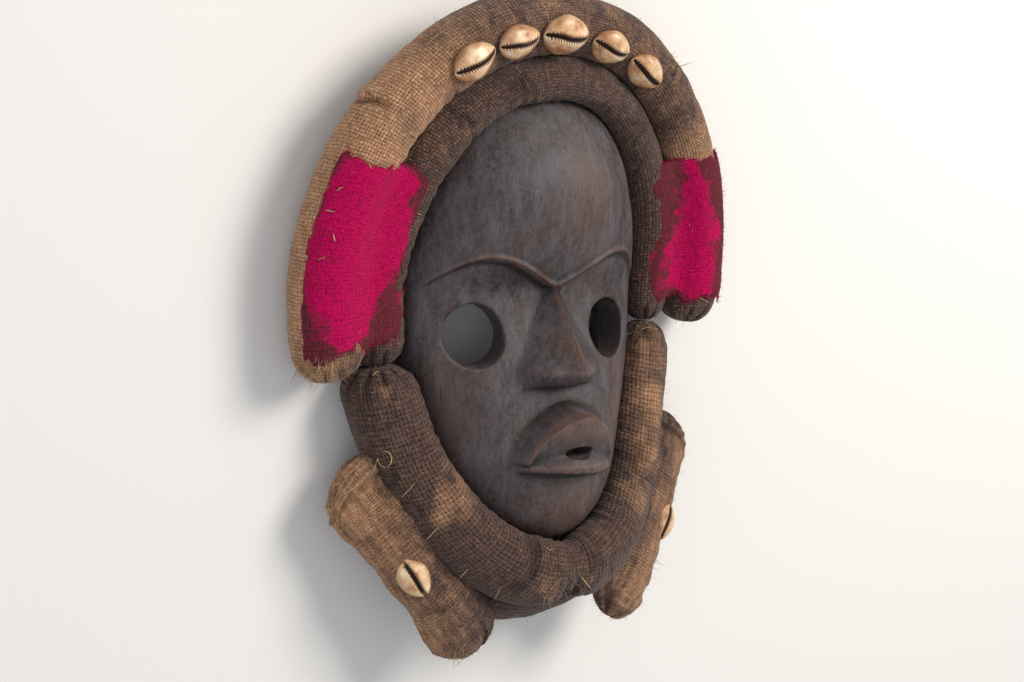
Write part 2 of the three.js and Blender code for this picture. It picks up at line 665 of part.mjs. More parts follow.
// [name, degrees from the top of the head, lean towards the face, size]
const CROWN_COWRIES = [
  ["crown_cowrie_1", -29.8, 14, 0.96],
  ["crown_cowrie_2", -16.8, 20, 0.92],
  ["crown_cowrie_3", -2.5, 23, 1.08],
  ["crown_cowrie_4", 13.2, 31, 0.95],
  ["crown_cowrie_5", 27.8, 34, 0.96],
];
for (const [name, degrees, lean, size] of CROWN_COWRIES) {
  add(name, cutBy(cowrieSolid(crownCowrieFrame(degrees, lean), size), [thickOuter, thickInner]), SHELL);
}
// [name, side, share of the way down the pad, lean outwards, size]
const PAD_COWRIES = [
  ["left_pad_cowrie", -1, 0.53, 10, 0.88],
  ["right_pad_cowrie", 1, 0.5, 17, 0.82],
];
for (const [name, side, share, lean, size] of PAD_COWRIES) {
  add(name, cutBy(cowrieSolid(padCowrieFrame(side, share, lean), size), [thickPad(side), thickFrontChin]), SHELL);
}

// The part stands with the middle of its footprint on the origin.
root.updateMatrixWorld(true);
const bounds = new THREE.Box3().setFromObject(root, true);
const centre = bounds.getCenter(new THREE.Vector3());
root.children.forEach((mesh) => mesh.geometry.translate(-centre.x, -centre.y, -bounds.min.z));

export default root;
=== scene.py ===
"""A carved wooden face mask framed by stuffed burlap rolls, lying on its back on a pale floor.

Shapes are worked out in millimetres in the carver's frame: x to the viewer's right and y over the forehead, both
measured from the line between the eyes, and z from the flat back. put_mesh() moves them into the part's frame, in
metres. A rim angle runs clockwise from the top of the head; left and right are the viewer's.
"""
import math

import bpy
import numpy as np
from mathutils import Matrix, Vector
from mathutils.bvhtree import BVHTree


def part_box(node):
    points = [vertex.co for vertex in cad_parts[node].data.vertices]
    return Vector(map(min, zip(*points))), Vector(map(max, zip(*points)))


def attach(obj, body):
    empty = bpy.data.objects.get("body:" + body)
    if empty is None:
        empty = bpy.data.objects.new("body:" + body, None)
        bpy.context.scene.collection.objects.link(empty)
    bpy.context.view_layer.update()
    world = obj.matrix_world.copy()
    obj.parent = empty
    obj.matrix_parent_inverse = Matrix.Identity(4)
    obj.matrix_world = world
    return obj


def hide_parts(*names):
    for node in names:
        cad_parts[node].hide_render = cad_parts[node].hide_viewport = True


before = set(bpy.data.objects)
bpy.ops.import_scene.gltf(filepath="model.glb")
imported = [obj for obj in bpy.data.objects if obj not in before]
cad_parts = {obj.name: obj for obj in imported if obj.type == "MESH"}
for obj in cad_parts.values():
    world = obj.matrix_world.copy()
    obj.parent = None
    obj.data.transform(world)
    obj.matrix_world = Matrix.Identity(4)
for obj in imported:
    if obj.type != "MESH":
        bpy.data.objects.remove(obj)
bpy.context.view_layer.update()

MM = 0.001
TAU = 2 * np.pi

# ---------------------------------------------------------------- sizes shared with the solids, in mm and degrees
GAP = 0.4
FACE_HALF_WIDTH, WIDEST_Y, CROWN_Y, CHIN_Y, JAW_POWER = 66, 18, 108, -103, 0.9
FACE_DEPTH, RIM_HEIGHT, RIM_WIDTH, WOOD_WALL = 57, 14, 9, 8
BACK_SLANT, CROWN_SLANT_Y, CHIN_SLANT_Y = 15, 58, -50
BROW_Y, BROW_RISE, BROW_DROP, BROW_PEAK, BROW_RIDGE, BROW_HALF_WIDTH = 19, 15, 1, 1.25, 1.4, 1.8
EYE_RECESS, RECESS_EDGE, RECESS_FADE_FROM, RECESS_FADE_TO = 3, 3, 12, 48
LEFT_EYE, RIGHT_EYE, MOUTH = (-40.3, -2.2, 13.1, 14.3), (36.3, -4, 14.2, 13.8), (0, -55, 7.4, 2.5)
NOSE_TIP_Y, NOSE_BASE_Y, NOSE_RISE, NOSE_CURVE, NOSE_HALF_WIDTH, BRIDGE_HALF_WIDTH = -18, -27, 17, 0.68, 24, 2.5
WING_X, WING_Y, WING_RISE, WING_RADIUS = 14, -19, 3, 7
LIP_HALF_WIDTH, LIP_POWER, LIP_RISE, LIP_FALL, LIP_FOOT, LIP_UNDERCUT = 23.5, 1.7, 15.5, 0.53, 1.28, 2.5
UPPER_LIP_Y, LIP_CORNER_Y, LOWER_LIP_Y, LIP_SLANT = -38, -57.5, -63.5, 0.08
MIDDLE_LINE = [
    (-1, 0.53), (-0.97, 0.76), (-0.9, 0.91), (-0.8, 0.985), (-0.64, 0.96), (-0.48, 0.88), (-0.27, 0.78), (-0.1, 0.71),
    (0.01, 0.705), (0.12, 0.79), (0.3, 0.88), (0.5, 0.91), (0.7, 0.84), (0.86, 0.7), (0.96, 0.56), (1, 0.48),
]
SIDE_POWER = 0.58
LIP_SECTION = [(0, 1), (0.25, 0.86), (0.5, 0.6), (0.68, 0.48), (0.88, 0.74), (1, 0.7)]

CROWN_LEFT_END, CROWN_RIGHT_END, CROWN_RIGHT_SHARE = 105, 101, 0.94
INNER_CROWN_RADIUS, INNER_CROWN_OUT, INNER_CROWN_TOP_SHARE, INNER_CROWN_TOP_OUT = 11.8, 15, 0.79, 5.4
INNER_CROWN_TOP_LIFT, INNER_CROWN_PRESS = 34.5, 2.8
OUTER_CROWN_RADIUS, OUTER_CROWN_LIFT, OUTER_CROWN_TOP_DROP, OUTER_CROWN_TOP_SHARE = 15.6, 16.5, 0.3, 0.88
EAR_ANGLE, FRONT_CHIN_LEFT_END, FRONT_CHIN_RIGHT_END = 98, 104, 101
FRONT_CHIN_RADIUS, FRONT_CHIN_OUT, FRONT_CHIN_LIFT = 14, 12, 50
LEFT_EAR_RADIUS, LEFT_EAR_OUT, RIGHT_EAR_RADIUS, RIGHT_EAR_OUT = 15, 19, 13, 14.5
CHIN_PRESS, JOIN_PINCH, JOIN_SPREAD = 4.5, 0.16, 5
BACK_CHIN_END, BACK_CHIN_RADIUS, BACK_CHIN_OUT, BACK_CHIN_LIFT = 128, 15, 26, 22
PAD_HALF_WIDTH, PAD_HALF_DEPTH, PAD_TOP_ANGLE, PAD_TOP_LIFT, PAD_BOTTOM_LIFT = 19, 9, 121, 17, 40
PAD_TOP_OUT, PAD_BOTTOM_ANGLE, PAD_BOTTOM_OUT = {-1: 43.5, 1: 39.5}, 166, {-1: 51, 1: 52}
FELT_SAG, FELT_TOP, FELT_TOP_SKEW, FELT_SHORT_OF_END, FELT_OUTER_LEAN, FELT_INNER_LEAN = 3, 61.5, 5, 4.5, 27, 160
COWRIE_LENGTH, COWRIE_WIDTH, COWRIE_DEPTH, COWRIE_SINK = 23.5, 16.5, 11, 1.5

low, high = (np.array(corner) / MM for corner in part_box("wooden_face"))
TO_PART = np.array([(low[0] + high[0]) / 2, (low[1] + high[1]) / 2 - (CROWN_Y + CHIN_Y) / 2, 0.0])

# ---------------------------------------------------------------- camera, at the photograph's angle

AZIMUTH, ELEVATION, ROLL_ANGLE = np.radians([37.8, 9.6, 1.3])
DISTANCE, FOCAL_PIXELS = 742.0, 1539.0
FRAME_WIDTH, FRAME_HEIGHT, SENSOR = 1024, 682, 36
AIM = np.array([6.6, -13.2, 0])
BACKWARDS = np.array([-np.sin(AZIMUTH) * np.cos(ELEVATION), np.sin(ELEVATION), np.cos(AZIMUTH) * np.cos(ELEVATION)])
LEVEL = np.array([np.cos(AZIMUTH), 0, np.sin(AZIMUTH)])
UPRIGHT = np.cross(BACKWARDS, LEVEL)
RIGHT = np.cos(ROLL_ANGLE) * LEVEL + np.sin(ROLL_ANGLE) * UPRIGHT
UPPER = np.cos(ROLL_ANGLE) * UPRIGHT - np.sin(ROLL_ANGLE) * LEVEL
EYE_PLACE = (AIM + DISTANCE * BACKWARDS + TO_PART) * MM

camera = bpy.data.cameras.new("camera")
camera.sensor_width = SENSOR
camera.lens = FOCAL_PIXELS / FRAME_WIDTH * SENSOR
viewer = bpy.data.objects.new("camera", camera)
bpy.context.scene.collection.objects.link(viewer)
viewer.matrix_world = Matrix([[RIGHT[k], UPPER[k], BACKWARDS[k], EYE_PLACE[k]] for k in range(3)] + [[0, 0, 0, 1]])
bpy.context.scene.camera = viewer


# ---------------------------------------------------------------- numbers

def lerp(a, b, t):
    return a + (b - a) * t


def step(x, low_edge, high_edge):
    """Smooth step: 3t^2 - 2t^3 between the two edges."""
    t = np.clip((x - low_edge) / (high_edge - low_edge), 0, 1)
    return t * t * (3 - 2 * t)


def bump(x, width):
    """Gaussian: exp(-(x / width)^2)."""
    return np.exp(-((x / width) ** 2))


def unit(v):
    return v / np.maximum(np.linalg.norm(v, axis=-1, keepdims=True), 1e-9)


def noise(points, size, seed):
    """Smooth random field from -1 to 1: seeded values on a lattice of that cell size, blended by quintic steps."""
    table = np.random.default_rng(seed).uniform(-1, 1, 4096)
    scaled = np.asarray(points, float) / size
    cell = np.floor(scaled).astype(np.int64)
    f = scaled - cell
    f = f**3 * (f * (f * 6 - 15) + 10)
    total = np.zeros(scaled.shape[:-1])
    for corner in np.ndindex(2, 2, 2):
        key = (cell + np.array(corner)) @ np.array([73856093, 19349663, 83492791])
        weight = np.prod(np.where(np.array(corner), f, 1 - f), axis=-1)
        total += weight * table[np.abs(key ^ (key >> 13)) % 4096]
    return total


def smooth_through(points, x):
    """Cubic pieces through [x, y] points, whose slopes are those of the neighbours."""
    px, py = np.array(points, float).T
    k = np.arange(len(px))
    before, after = np.maximum(k - 1, 0), np.minimum(k + 1, len(px) - 1)
    slope = (py[after] - py[before]) / (px[after] - px[before])
    x = np.clip(x, px[0], px[-1])
    k = np.clip(np.searchsorted(px, x, side="right") - 1, 0, len(px) - 2)
    span = px[k + 1] - px[k]
    t = (x - px[k]) / span
    return (
        py[k] * (1 + 2 * t) * (1 - t) ** 2 + slope[k] * span * t * (1 - t) ** 2
        + py[k + 1] * t * t * (3 - 2 * t) + slope[k + 1] * span * t * t * (t - 1)
    )


# ---------------------------------------------------------------- meshes

def put_mesh(name, points, faces, material, uv=None, attributes=(), sharp=None, replaces=()):
    """Makes a piece from points in mm and arrays of triangles or quads, each with its corners' uv if given."""
    mesh = bpy.data.meshes.new(name)
    corners = np.concatenate([f.ravel() for f in faces])
    sizes = np.concatenate([np.full(len(f), f.shape[1]) for f in faces])
    mesh.vertices.add(len(points))
    mesh.vertices.foreach_set("co", ((points + TO_PART) * MM).astype(np.float32).ravel())
    mesh.loops.add(len(corners))
    mesh.loops.foreach_set("vertex_index", corners.astype(np.int32))
    mesh.polygons.add(len(sizes))
    mesh.polygons.foreach_set("loop_start", (np.cumsum(sizes) - sizes).astype(np.int32))
    mesh.polygons.foreach_set("loop_total", sizes.astype(np.int32))
    mesh.update(calc_edges=True)
    if uv is not None:
        layer = mesh.uv_layers.new(name="cloth")
        layer.data.foreach_set("uv", np.concatenate([c.reshape(-1, 2) for c in uv]).astype(np.float32).ravel())
    for key, values in dict(attributes).items():
        mesh.attributes.new(key, "FLOAT", "POINT").data.foreach_set("value", values.astype(np.float32).ravel())
    mesh.polygons.foreach_set("use_smooth", np.ones(len(sizes), bool))
    if sharp is not None:
        mesh.set_sharp_from_angle(angle=math.radians(sharp))
    mesh.validate()
    piece = bpy.data.objects.new(name, mesh)
    bpy.context.scene.collection.objects.link(piece)
    mesh.materials.append(material)
    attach(piece, "root")
    if replaces:
        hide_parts(*replaces)
    return piece


def grid_quads(rows, columns, wrap):
    """Quads between a grid's points, as indexes; with wrap the last column joins the first."""
    r, c = np.meshgrid(np.arange(rows - 1), np.arange(columns if wrap else columns - 1), indexing="ij")
    right = (c + 1) % columns
    quads = np.stack([r * columns + c, r * columns + right, (r + 1) * columns + right, (r + 1) * columns + c], -1)
    return quads.reshape(-1, 4)


def closed_tube(rings, along, around):
    """Points, faces and uv of a tube of rings (row, column, xyz) whose two ends close on a point each."""
    rows, columns = rings.shape[:2]
    points = np.concatenate([rings.reshape(-1, 3), rings[:1].mean(1), rings[-1:].mean(1)])
    quads = grid_quads(rows, columns, True)
    ring = np.arange(columns)
    after = (ring + 1) % columns
    first, last = rows * columns, rows * columns + 1
    base = (rows - 1) * columns
    fans = np.concatenate([
        np.stack([np.full(columns, first), after, ring], -1),
        np.stack([base + ring, base + after, np.full(columns, last)], -1),
    ])
    sheet = np.stack([along[:, None] + 0 * around, around + 0 * along[:, None]], -1) * MM
    quad_uv = np.stack([sheet[:-1, :-1], sheet[:-1, 1:], sheet[1:, 1:], sheet[1:, :-1]], 2)
    middle = (sheet[:, 1:] + sheet[:, :-1]) / 2
    fan_uv = np.concatenate([
        np.stack([middle[0], sheet[0, 1:], sheet[0, :-1]], 1),
        np.stack([sheet[-1, :-1], sheet[-1, 1:], middle[-1]], 1),
    ])
    return points, [quads, fans], [quad_uv, fan_uv]


def with_poles(values):
    """A grid's values as a flat list, with the means of its first and last rows for the two poles."""
    return np.concatenate([values.ravel(), [values[0].mean(), values[-1].mean()]])


def face_outwards(points, faces, uv=None):
    """Turns all faces round if the closed surface has its inside out, by the sign of its volume."""
    volume = 0.0
    for f in faces:
        for k in range(1, f.shape[1] - 1):
            a, b, c = points[f[:, 0]], points[f[:, k]], points[f[:, k + 1]]
            volume += (a * np.cross(b, c)).sum()
    if volume < 0:
        faces = [f[:, ::-1] for f in faces]
        uv = None if uv is None else [c[:, ::-1] for c in uv]
    return faces, uv


# ---------------------------------------------------------------- outline and carving of the face

def rim_axes(angle):
    """A point of the rim and the unit normal there that points away from the face."""
    def point(a):
        c, s = np.cos(a), np.sin(a)
        across = np.where(c < 0, np.sign(s) * np.abs(s) ** JAW_POWER, s)
        reach = np.where(c < 0, WIDEST_Y - CHIN_Y, CROWN_Y - WIDEST_Y)
        return np.stack([FACE_HALF_WIDTH * across, WIDEST_Y + reach * c], -1)

    along = unit(point(angle + 0.02) - point(angle - 0.02))
    return point(angle), np.stack([-along[..., 1], along[..., 0]], -1)


def beside_rim(angle, out, height):
    """The point at that rim angle, out from the rim, and height over the back."""
    angle, out, height = np.broadcast_arrays(angle, out, height)
    base, outward = rim_axes(angle)
    return np.concatenate([base + outward * out[..., None], height[..., None]], -1)


def share_of_reach(y, out):
    reach = np.where(y < WIDEST_Y, WIDEST_Y - CHIN_Y + out, CROWN_Y - WIDEST_Y + out)
    return (y - WIDEST_Y) / reach


def half_width_at(y, out):
    t = share_of_reach(y, out)
    power = np.where(y < WIDEST_Y, JAW_POWER / 2, 0.5)
    return (FACE_HALF_WIDTH + out) * np.maximum(0, 1 - t * t) ** power


def swell(x, y, out):
    """The rounding towards the sides, (1 - beside^2)^power, and the height of the middle line."""
    beside = np.abs(x) / np.maximum(half_width_at(y, out), 1e-6)
    side = (1 - np.minimum(beside, 1) ** 2) ** SIDE_POWER
    return side, FACE_DEPTH * smooth_through(MIDDLE_LINE, share_of_reach(y, out))


def back_height(y):
    return np.maximum(0, np.maximum(y - CROWN_SLANT_Y, CHIN_SLANT_Y - y)) * math.tan(math.radians(BACK_SLANT))


def brow_line(x):
    share = np.minimum(np.abs(x) / FACE_HALF_WIDTH, 1)
    return BROW_Y + BROW_RISE * np.sin(np.pi * share**BROW_PEAK) - BROW_DROP * share * share


def brow_relief(x, y):
    below = brow_line(x) - y
    fade = step(below, RECESS_FADE_FROM, RECESS_FADE_TO)
    return BROW_RIDGE * bump(below, BROW_HALF_WIDTH) - EYE_RECESS * step(below, 0, RECESS_EDGE) * (1 - fade)


def nose_relief(x, y):
    """The bridge rises by a power of the way down it, its flanks fall by another, and two gaussian wings stand on them;
    below the tip it rounds in under itself."""
    down = np.clip((BROW_Y - y) / (BROW_Y - NOSE_TIP_Y), 0, 1)
    under = np.clip((NOSE_TIP_Y - y) / (NOSE_TIP_Y - NOSE_BASE_Y), 0, 1)
    flank = np.maximum(0, 1 - np.abs(x) / lerp(BRIDGE_HALF_WIDTH, NOSE_HALF_WIDTH, down)) ** 1.2
    wing = WING_RISE * bump(np.hypot(np.abs(x) - WING_X, y - WING_Y), WING_RADIUS)
    return np.where(down > 0, ((NOSE_RISE * down**NOSE_CURVE + EYE_RECESS) * flank + wing) * (1 - under**1.8), 0)


def lip_crest(x):
    within = np.minimum(np.abs(x) / LIP_HALF_WIDTH, 1)
    return LIP_CORNER_Y + (UPPER_LIP_Y - LIP_CORNER_Y) * (1 - within**LIP_POWER) ** (1 / LIP_POWER)


def lip_relief(x, y):
    """Full height on the crest of the upper lip, down to the mouth and up again on the lower lip; outside the crest it
    runs out at a fixed share of the lips' size, and below the lower edge it is undercut."""
    across = np.abs(x) / LIP_HALF_WIDTH
    up = np.maximum(0, y - LIP_CORNER_Y) / (UPPER_LIP_Y - LIP_CORNER_Y)
    reach = (across**LIP_POWER + up**LIP_POWER) ** (1 / LIP_POWER)
    foot = np.clip((LIP_FOOT - reach) / (LIP_FOOT - 1), 0, 1) ** 1.3
    top, bottom = lip_crest(x), LOWER_LIP_Y - LIP_SLANT * x
    under = np.clip(1 - (bottom - y) / LIP_UNDERCUT, 0, 1)
    rise = LIP_RISE * (1 - LIP_FALL * np.minimum(across, 1) ** 2)
    return rise * smooth_through(LIP_SECTION, (top - y) / (top - bottom)) * foot * under


def face_height(x, y):
    side, middle = swell(x, y, 0)
    rim = RIM_HEIGHT + back_height(y)
    return rim + (middle - rim + brow_relief(x, y) + nose_relief(x, y) + lip_relief(x, y)) * side


def hollow_height(x, y):
    side, middle = swell(x, y, -RIM_WIDTH)
    return (middle - WOOD_WALL) * side


def room_height(x, y, out):
    """The plain swell of the face with some air over it: what the rolls keep clear of."""
    side, middle = swell(x, y, out)
    rim = RIM_HEIGHT + back_height(y)
    relief = np.maximum(brow_relief(x, y), 0)
    return np.where(np.abs(x) < half_width_at(y, out), rim + (middle - rim + relief) * side + out, -99)


FINE = 5  # rows and columns of the carving for each one in the solid
ROW_BANDS = [
    (CHIN_Y + 0.4, LOWER_LIP_Y - 5, 7, lambda t: t * t),
    (LOWER_LIP_Y - 5, LOWER_LIP_Y, 4, lambda t: t),
    (LOWER_LIP_Y, UPPER_LIP_Y, 10, lambda t: t),
    (UPPER_LIP_Y, NOSE_BASE_Y - 1, 4, lambda t: t**1.2),
    (NOSE_BASE_Y - 1, NOSE_TIP_Y + 1, 4, lambda t: t),
    (NOSE_TIP_Y + 1, BROW_Y - 5, 5, lambda t: t),
    (BROW_Y - 5, BROW_Y + 3, 5, lambda t: t),
    (BROW_Y + 3, CROWN_Y - 0.4, 11, lambda t: 1 - (1 - t) ** 1.7),
]


def spread(u):
    return 0.5 * u + 1.3 * u**3 - 0.8 * u**5


def carving_grid():
    """Columns run parallel to the rim; rows near the brows follow the brows, and near the lips the upper lip's crest."""
    levels = [np.array([ROW_BANDS[0][0]])]
    for start, end, count, crowd in ROW_BANDS:
        levels.append(lerp(start, end, crowd(np.arange(1, FINE * count + 1) / (FINE * count))))
    level, u = np.meshgrid(np.concatenate(levels), np.linspace(-1, 1, 157), indexing="ij")
    brow_limit = np.where(level > BROW_Y, CROWN_Y - 0.4, NOSE_TIP_Y)
    brow_bend = np.clip((brow_limit - level) / (brow_limit - BROW_Y), 0, 1)
    lip_limit = np.where(level > UPPER_LIP_Y, NOSE_BASE_Y, LOWER_LIP_Y)
    lip_bend = np.clip((lip_limit - level) / (lip_limit - UPPER_LIP_Y), 0, 1)
    at_brow = level + brow_bend * (brow_line(spread(u) * FACE_HALF_WIDTH) - BROW_Y)
    y = at_brow
    for _ in range(3):
        y = at_brow + lip_bend * (lip_crest(spread(u) * half_width_at(y, 0)) - UPPER_LIP_Y)
    return spread(u) * half_width_at(y, 0), y


def hollow_grid():
    """The same outline; some of the columns lie on the edge of the hollow, and those inside it are spread over it."""
    level = np.concatenate([
        lerp(CHIN_Y + 0.4, CHIN_Y + RIM_WIDTH, np.linspace(0, 1, 9)[:-1]),
        WIDEST_Y - (WIDEST_Y - CHIN_Y - RIM_WIDTH) * np.cos(np.linspace(0, np.pi / 2, 76)),
        WIDEST_Y + (CROWN_Y - WIDEST_Y - RIM_WIDTH) * np.sin(np.linspace(0, np.pi / 2, 66)[1:]),
        lerp(CROWN_Y - RIM_WIDTH, CROWN_Y - 0.4, np.linspace(0, 1, 9)[1:]),
    ])
    y, u = np.meshgrid(level, np.linspace(-1, 1, 121), indexing="ij")
    edge = np.maximum(half_width_at(y, -RIM_WIDTH), 0.4)
    outer = half_width_at(y, 0)
    share = np.abs(u) / 0.9
    within = np.sin(np.pi / 2 * np.minimum(share, 1)) ** 0.9 * edge
    beyond = edge + (outer - edge) * np.clip((np.abs(u) - 0.9) / 0.1, 0, 1)
    return np.sign(u) * np.where(share <= 1, within, beyond), y


HOLES = [LEFT_EYE, RIGHT_EYE, MOUTH]


def pierced(x, y, grow):
    """Takes the cells inside each hole out of a grid and puts the points round them onto the hole's outline.

    Returns x, y, the quads that are left and each hole's loop of point indexes in the order of their angle."""
    rows, columns = x.shape
    x, y = x.ravel().copy(), y.ravel().copy()
    quads = grid_quads(rows, columns, False)
    loops = []
    for cx, cy, rx, ry in HOLES:
        rx, ry = rx + grow, ry + grow
        reach = np.hypot((x[quads].mean(1) - cx) / rx, (y[quads].mean(1) - cy) / ry)
        inside = reach < 1
        ring = np.intersect1d(quads[inside], quads[~inside])
        dx, dy = (x[ring] - cx) / rx, (y[ring] - cy) / ry
        length = np.hypot(dx, dy)
        x[ring], y[ring] = cx + rx * dx / length, cy + ry * dy / length
        loops.append(ring[np.argsort(np.arctan2(dy, dx))])
        quads = quads[~inside]
    return x, y, quads, loops


def zip_loops(first, first_angle, second, second_angle):
    """Triangles between two closed loops of points that are each in the order of their angle."""
    events = np.concatenate([
        np.append(first_angle[1:], first_angle[0] + TAU), np.append(second_angle[1:], second_angle[0] + TAU),
    ])
    of_first = np.concatenate([np.ones(len(first), bool), np.zeros(len(second), bool)])
    of_first = of_first[np.argsort(events, kind="stable")]
    i = np.cumsum(of_first) - of_first
    j = np.cumsum(~of_first) - ~of_first
    a, b = first[i % len(first)], second[j % len(second)]
    next_point = np.where(of_first, first[(i + 1) % len(first)], second[(j + 1) % len(second)])
    return np.stack([a, next_point, b], -1)


# Where handling and lamp soot have browned the wood: across, up, half width, half height, how much.
BROWNED = [
    (10, 60, 15, 20, 0.55), (-2, -6, 6, 14, 0.45), (0, -45, 16, 6, 0.6), (-6, -61, 16, 2.5, 0.2),
    (-50, -30, 16, 26, 0.28),
    (0, -84, 26, 13, 0.45), (42, -36, 12, 30, 0.35), (-24, 44, 20, 16, 0.12), (24, 24, 14, 9, 0.3),
]


def wooden_face(material):
    """The carved front, the hollow back, the upright rim between them and a rounded wall round each hole."""
    ease = 1.3  # rounding at the edge of a hole
    front_x, front_y = carving_grid()
    rows, columns = front_x.shape
    x, y, front, front_loops = pierced(front_x, front_y, ease)

    def carved(px, py):
        """Height with the shallow facets that the blade left."""
        flat = np.stack([px, 0.7 * py, 0 * px], -1)
        near_rim = step(1 - np.abs(px) / np.maximum(half_width_at(py, 0), 1), 0, 0.06)
        return face_height(px, py) + near_rim * (0.16 * noise(flat, 7.5, 5) + 0.05 * noise(flat, 2.6, 6))

    front_points = np.stack([x, y, carved(x, y)], -1)
    back_x, back_y = hollow_grid()
    back_rows, back_columns = back_x.shape
    bx, by, back, back_loops = pierced(back_x, back_y, 0)
    gouged = hollow_height(bx, by) - 0.45 * step(hollow_height(bx, by), 4, 12) * (
        0.5 + 0.5 * np.cos(TAU * (bx + 1.6 * noise(np.stack([bx, by, 0 * bx], -1), 18, 8)) / 6.5)
        + 0.6 * noise(np.stack([bx, 0.3 * by, 0 * bx], -1), 5, 9)
    )
    back_points = np.stack([bx, by, np.maximum(back_height(by), gouged)], -1)
    shift = len(front_points)
    points = [front_points, back_points]
    faces = [front, back[:, ::-1] + shift]

    def border(r, c):
        index = np.arange(r * c).reshape(r, c)
        return np.concatenate([index[0, :], index[1:, -1], index[-1, -2::-1], index[-2:0:-1, 0]])

    def in_order(px, py, loop):
        angle = np.arctan2(py[loop] - WIDEST_Y, px[loop])
        return loop[np.argsort(angle)], np.sort(angle)

    outer, outer_angle = in_order(x, y, border(rows, columns))
    under, under_angle = in_order(bx, by, border(back_rows, back_columns))
    triangles = [zip_loops(outer, outer_angle, under + shift, under_angle)[:, ::-1]]

    count = shift + len(back_points)
    for (cx, cy, rx, ry), top, bottom in zip(HOLES, front_loops, back_loops):
        angle = np.arctan2((y[top] - cy) / (ry + ease), (x[top] - cx) / (rx + ease))
        height = carved(x[top], y[top])
        loops = [top]
        for turn in np.radians([22, 45, 67, 90]):
            grow, sink = ease * (1 - math.sin(turn)), ease * (1 - math.cos(turn))
            ring = np.stack([cx + (rx + grow) * np.cos(angle), cy + (ry + grow) * np.sin(angle), height - sink], -1)
            points.append(ring)
            loops.append(count + np.arange(len(ring)))
            count += len(ring)
        for above, below in zip(loops[:-1], loops[1:]):
            faces.append(np.stack([above, np.roll(above, -1), np.roll(below, -1), below], -1))
        bottom_angle = np.arctan2((by[bottom] - cy) / ry, (bx[bottom] - cx) / rx)
        triangles.append(zip_loops(loops[-1], angle, bottom + shift, bottom_angle))
    points = np.concatenate(points)
    px, py, _ = points.T
    d = 2.2
    around = sum(face_height(px + i * d, py + j * d) for i, j in ((1, 0), (-1, 0), (0, 1), (0, -1))) / 4
    edge = np.abs(px) / np.maximum(half_width_at(py, 0), 1)
    ridge = np.where((np.arange(len(points)) < shift) & (edge < 0.93), face_height(px, py) - around, 0)
    brown = sum(amount * bump(np.hypot((px - bx0) / rx, (py - by0) / ry), 1) for bx0, by0, rx, ry, amount in BROWNED)
    # wear lightens the ridges as worn bare wood; the hollows below their neighbours' mean get painted shade.
    return put_mesh(
        "carved_face", points, faces + triangles, material, sharp=48, replaces=["wooden_face"],
        attributes={"wear": np.clip(ridge, 0, 1), "hollow_shade": np.clip(-ridge / 0.8, 0, 1), "brown": np.clip(brown, 0, 1)},
    )


# ---------------------------------------------------------------- stuffed rolls

def over_head(angle):
    return np.maximum(np.cos(angle), 0) ** 1.3


def beside_ears(angle):
    return np.abs(np.sin(angle)) ** 1.6


def crown_share(angle, top_share):
    return lerp(top_share, np.where(angle < 0, 1, CROWN_RIGHT_SHARE), beside_ears(angle))


def inner_radius(angle):
    return INNER_CROWN_RADIUS * crown_share(angle, INNER_CROWN_TOP_SHARE)


def outer_radius(angle):
    return OUTER_CROWN_RADIUS * crown_share(angle, OUTER_CROWN_TOP_SHARE)


def inner_out(angle):
    return lerp(INNER_CROWN_TOP_OUT, INNER_CROWN_OUT, beside_ears(angle))


def outer_out(angle):
    return inner_out(angle) + inner_radius(angle) + outer_radius(angle) + GAP


def inner_lift(angle):
    return lerp(INNER_CROWN_RADIUS, INNER_CROWN_TOP_LIFT, over_head(angle))


def outer_lift(angle):
    return lerp(OUTER_CROWN_LIFT, INNER_CROWN_TOP_LIFT - OUTER_CROWN_TOP_DROP, over_head(angle))


def under_chin(angle):
    from_top = np.pi - np.abs(np.pi - np.abs(angle))
    return step(from_top, math.radians(EAR_ANGLE), np.pi)


def front_chin_radius(angle):
    ear = np.where(np.sin(angle) < 0, LEFT_EAR_RADIUS, RIGHT_EAR_RADIUS)
    from_join = (np.pi - np.abs(angle)) / math.radians(JOIN_SPREAD)
    return lerp(ear, FRONT_CHIN_RADIUS, under_chin(angle)) * (1 - JOIN_PINCH * bump(from_join, 1))


def front_chin_out(angle):
    return lerp(np.where(np.sin(angle) < 0, LEFT_EAR_OUT, RIGHT_EAR_OUT), FRONT_CHIN_OUT, under_chin(angle))


def wrapped(angle, start, end):
    """The same angle brought between start and end, in turns of 360 degrees."""
    return angle - TAU * np.round((angle - (start + end) / 2) / TAU)


def roundness(from_end):
    """How full a roll is at that share of a radius from its end: a squarish cap."""
    return np.maximum(1 - (1 - from_end) ** 2, 0) ** 0.4


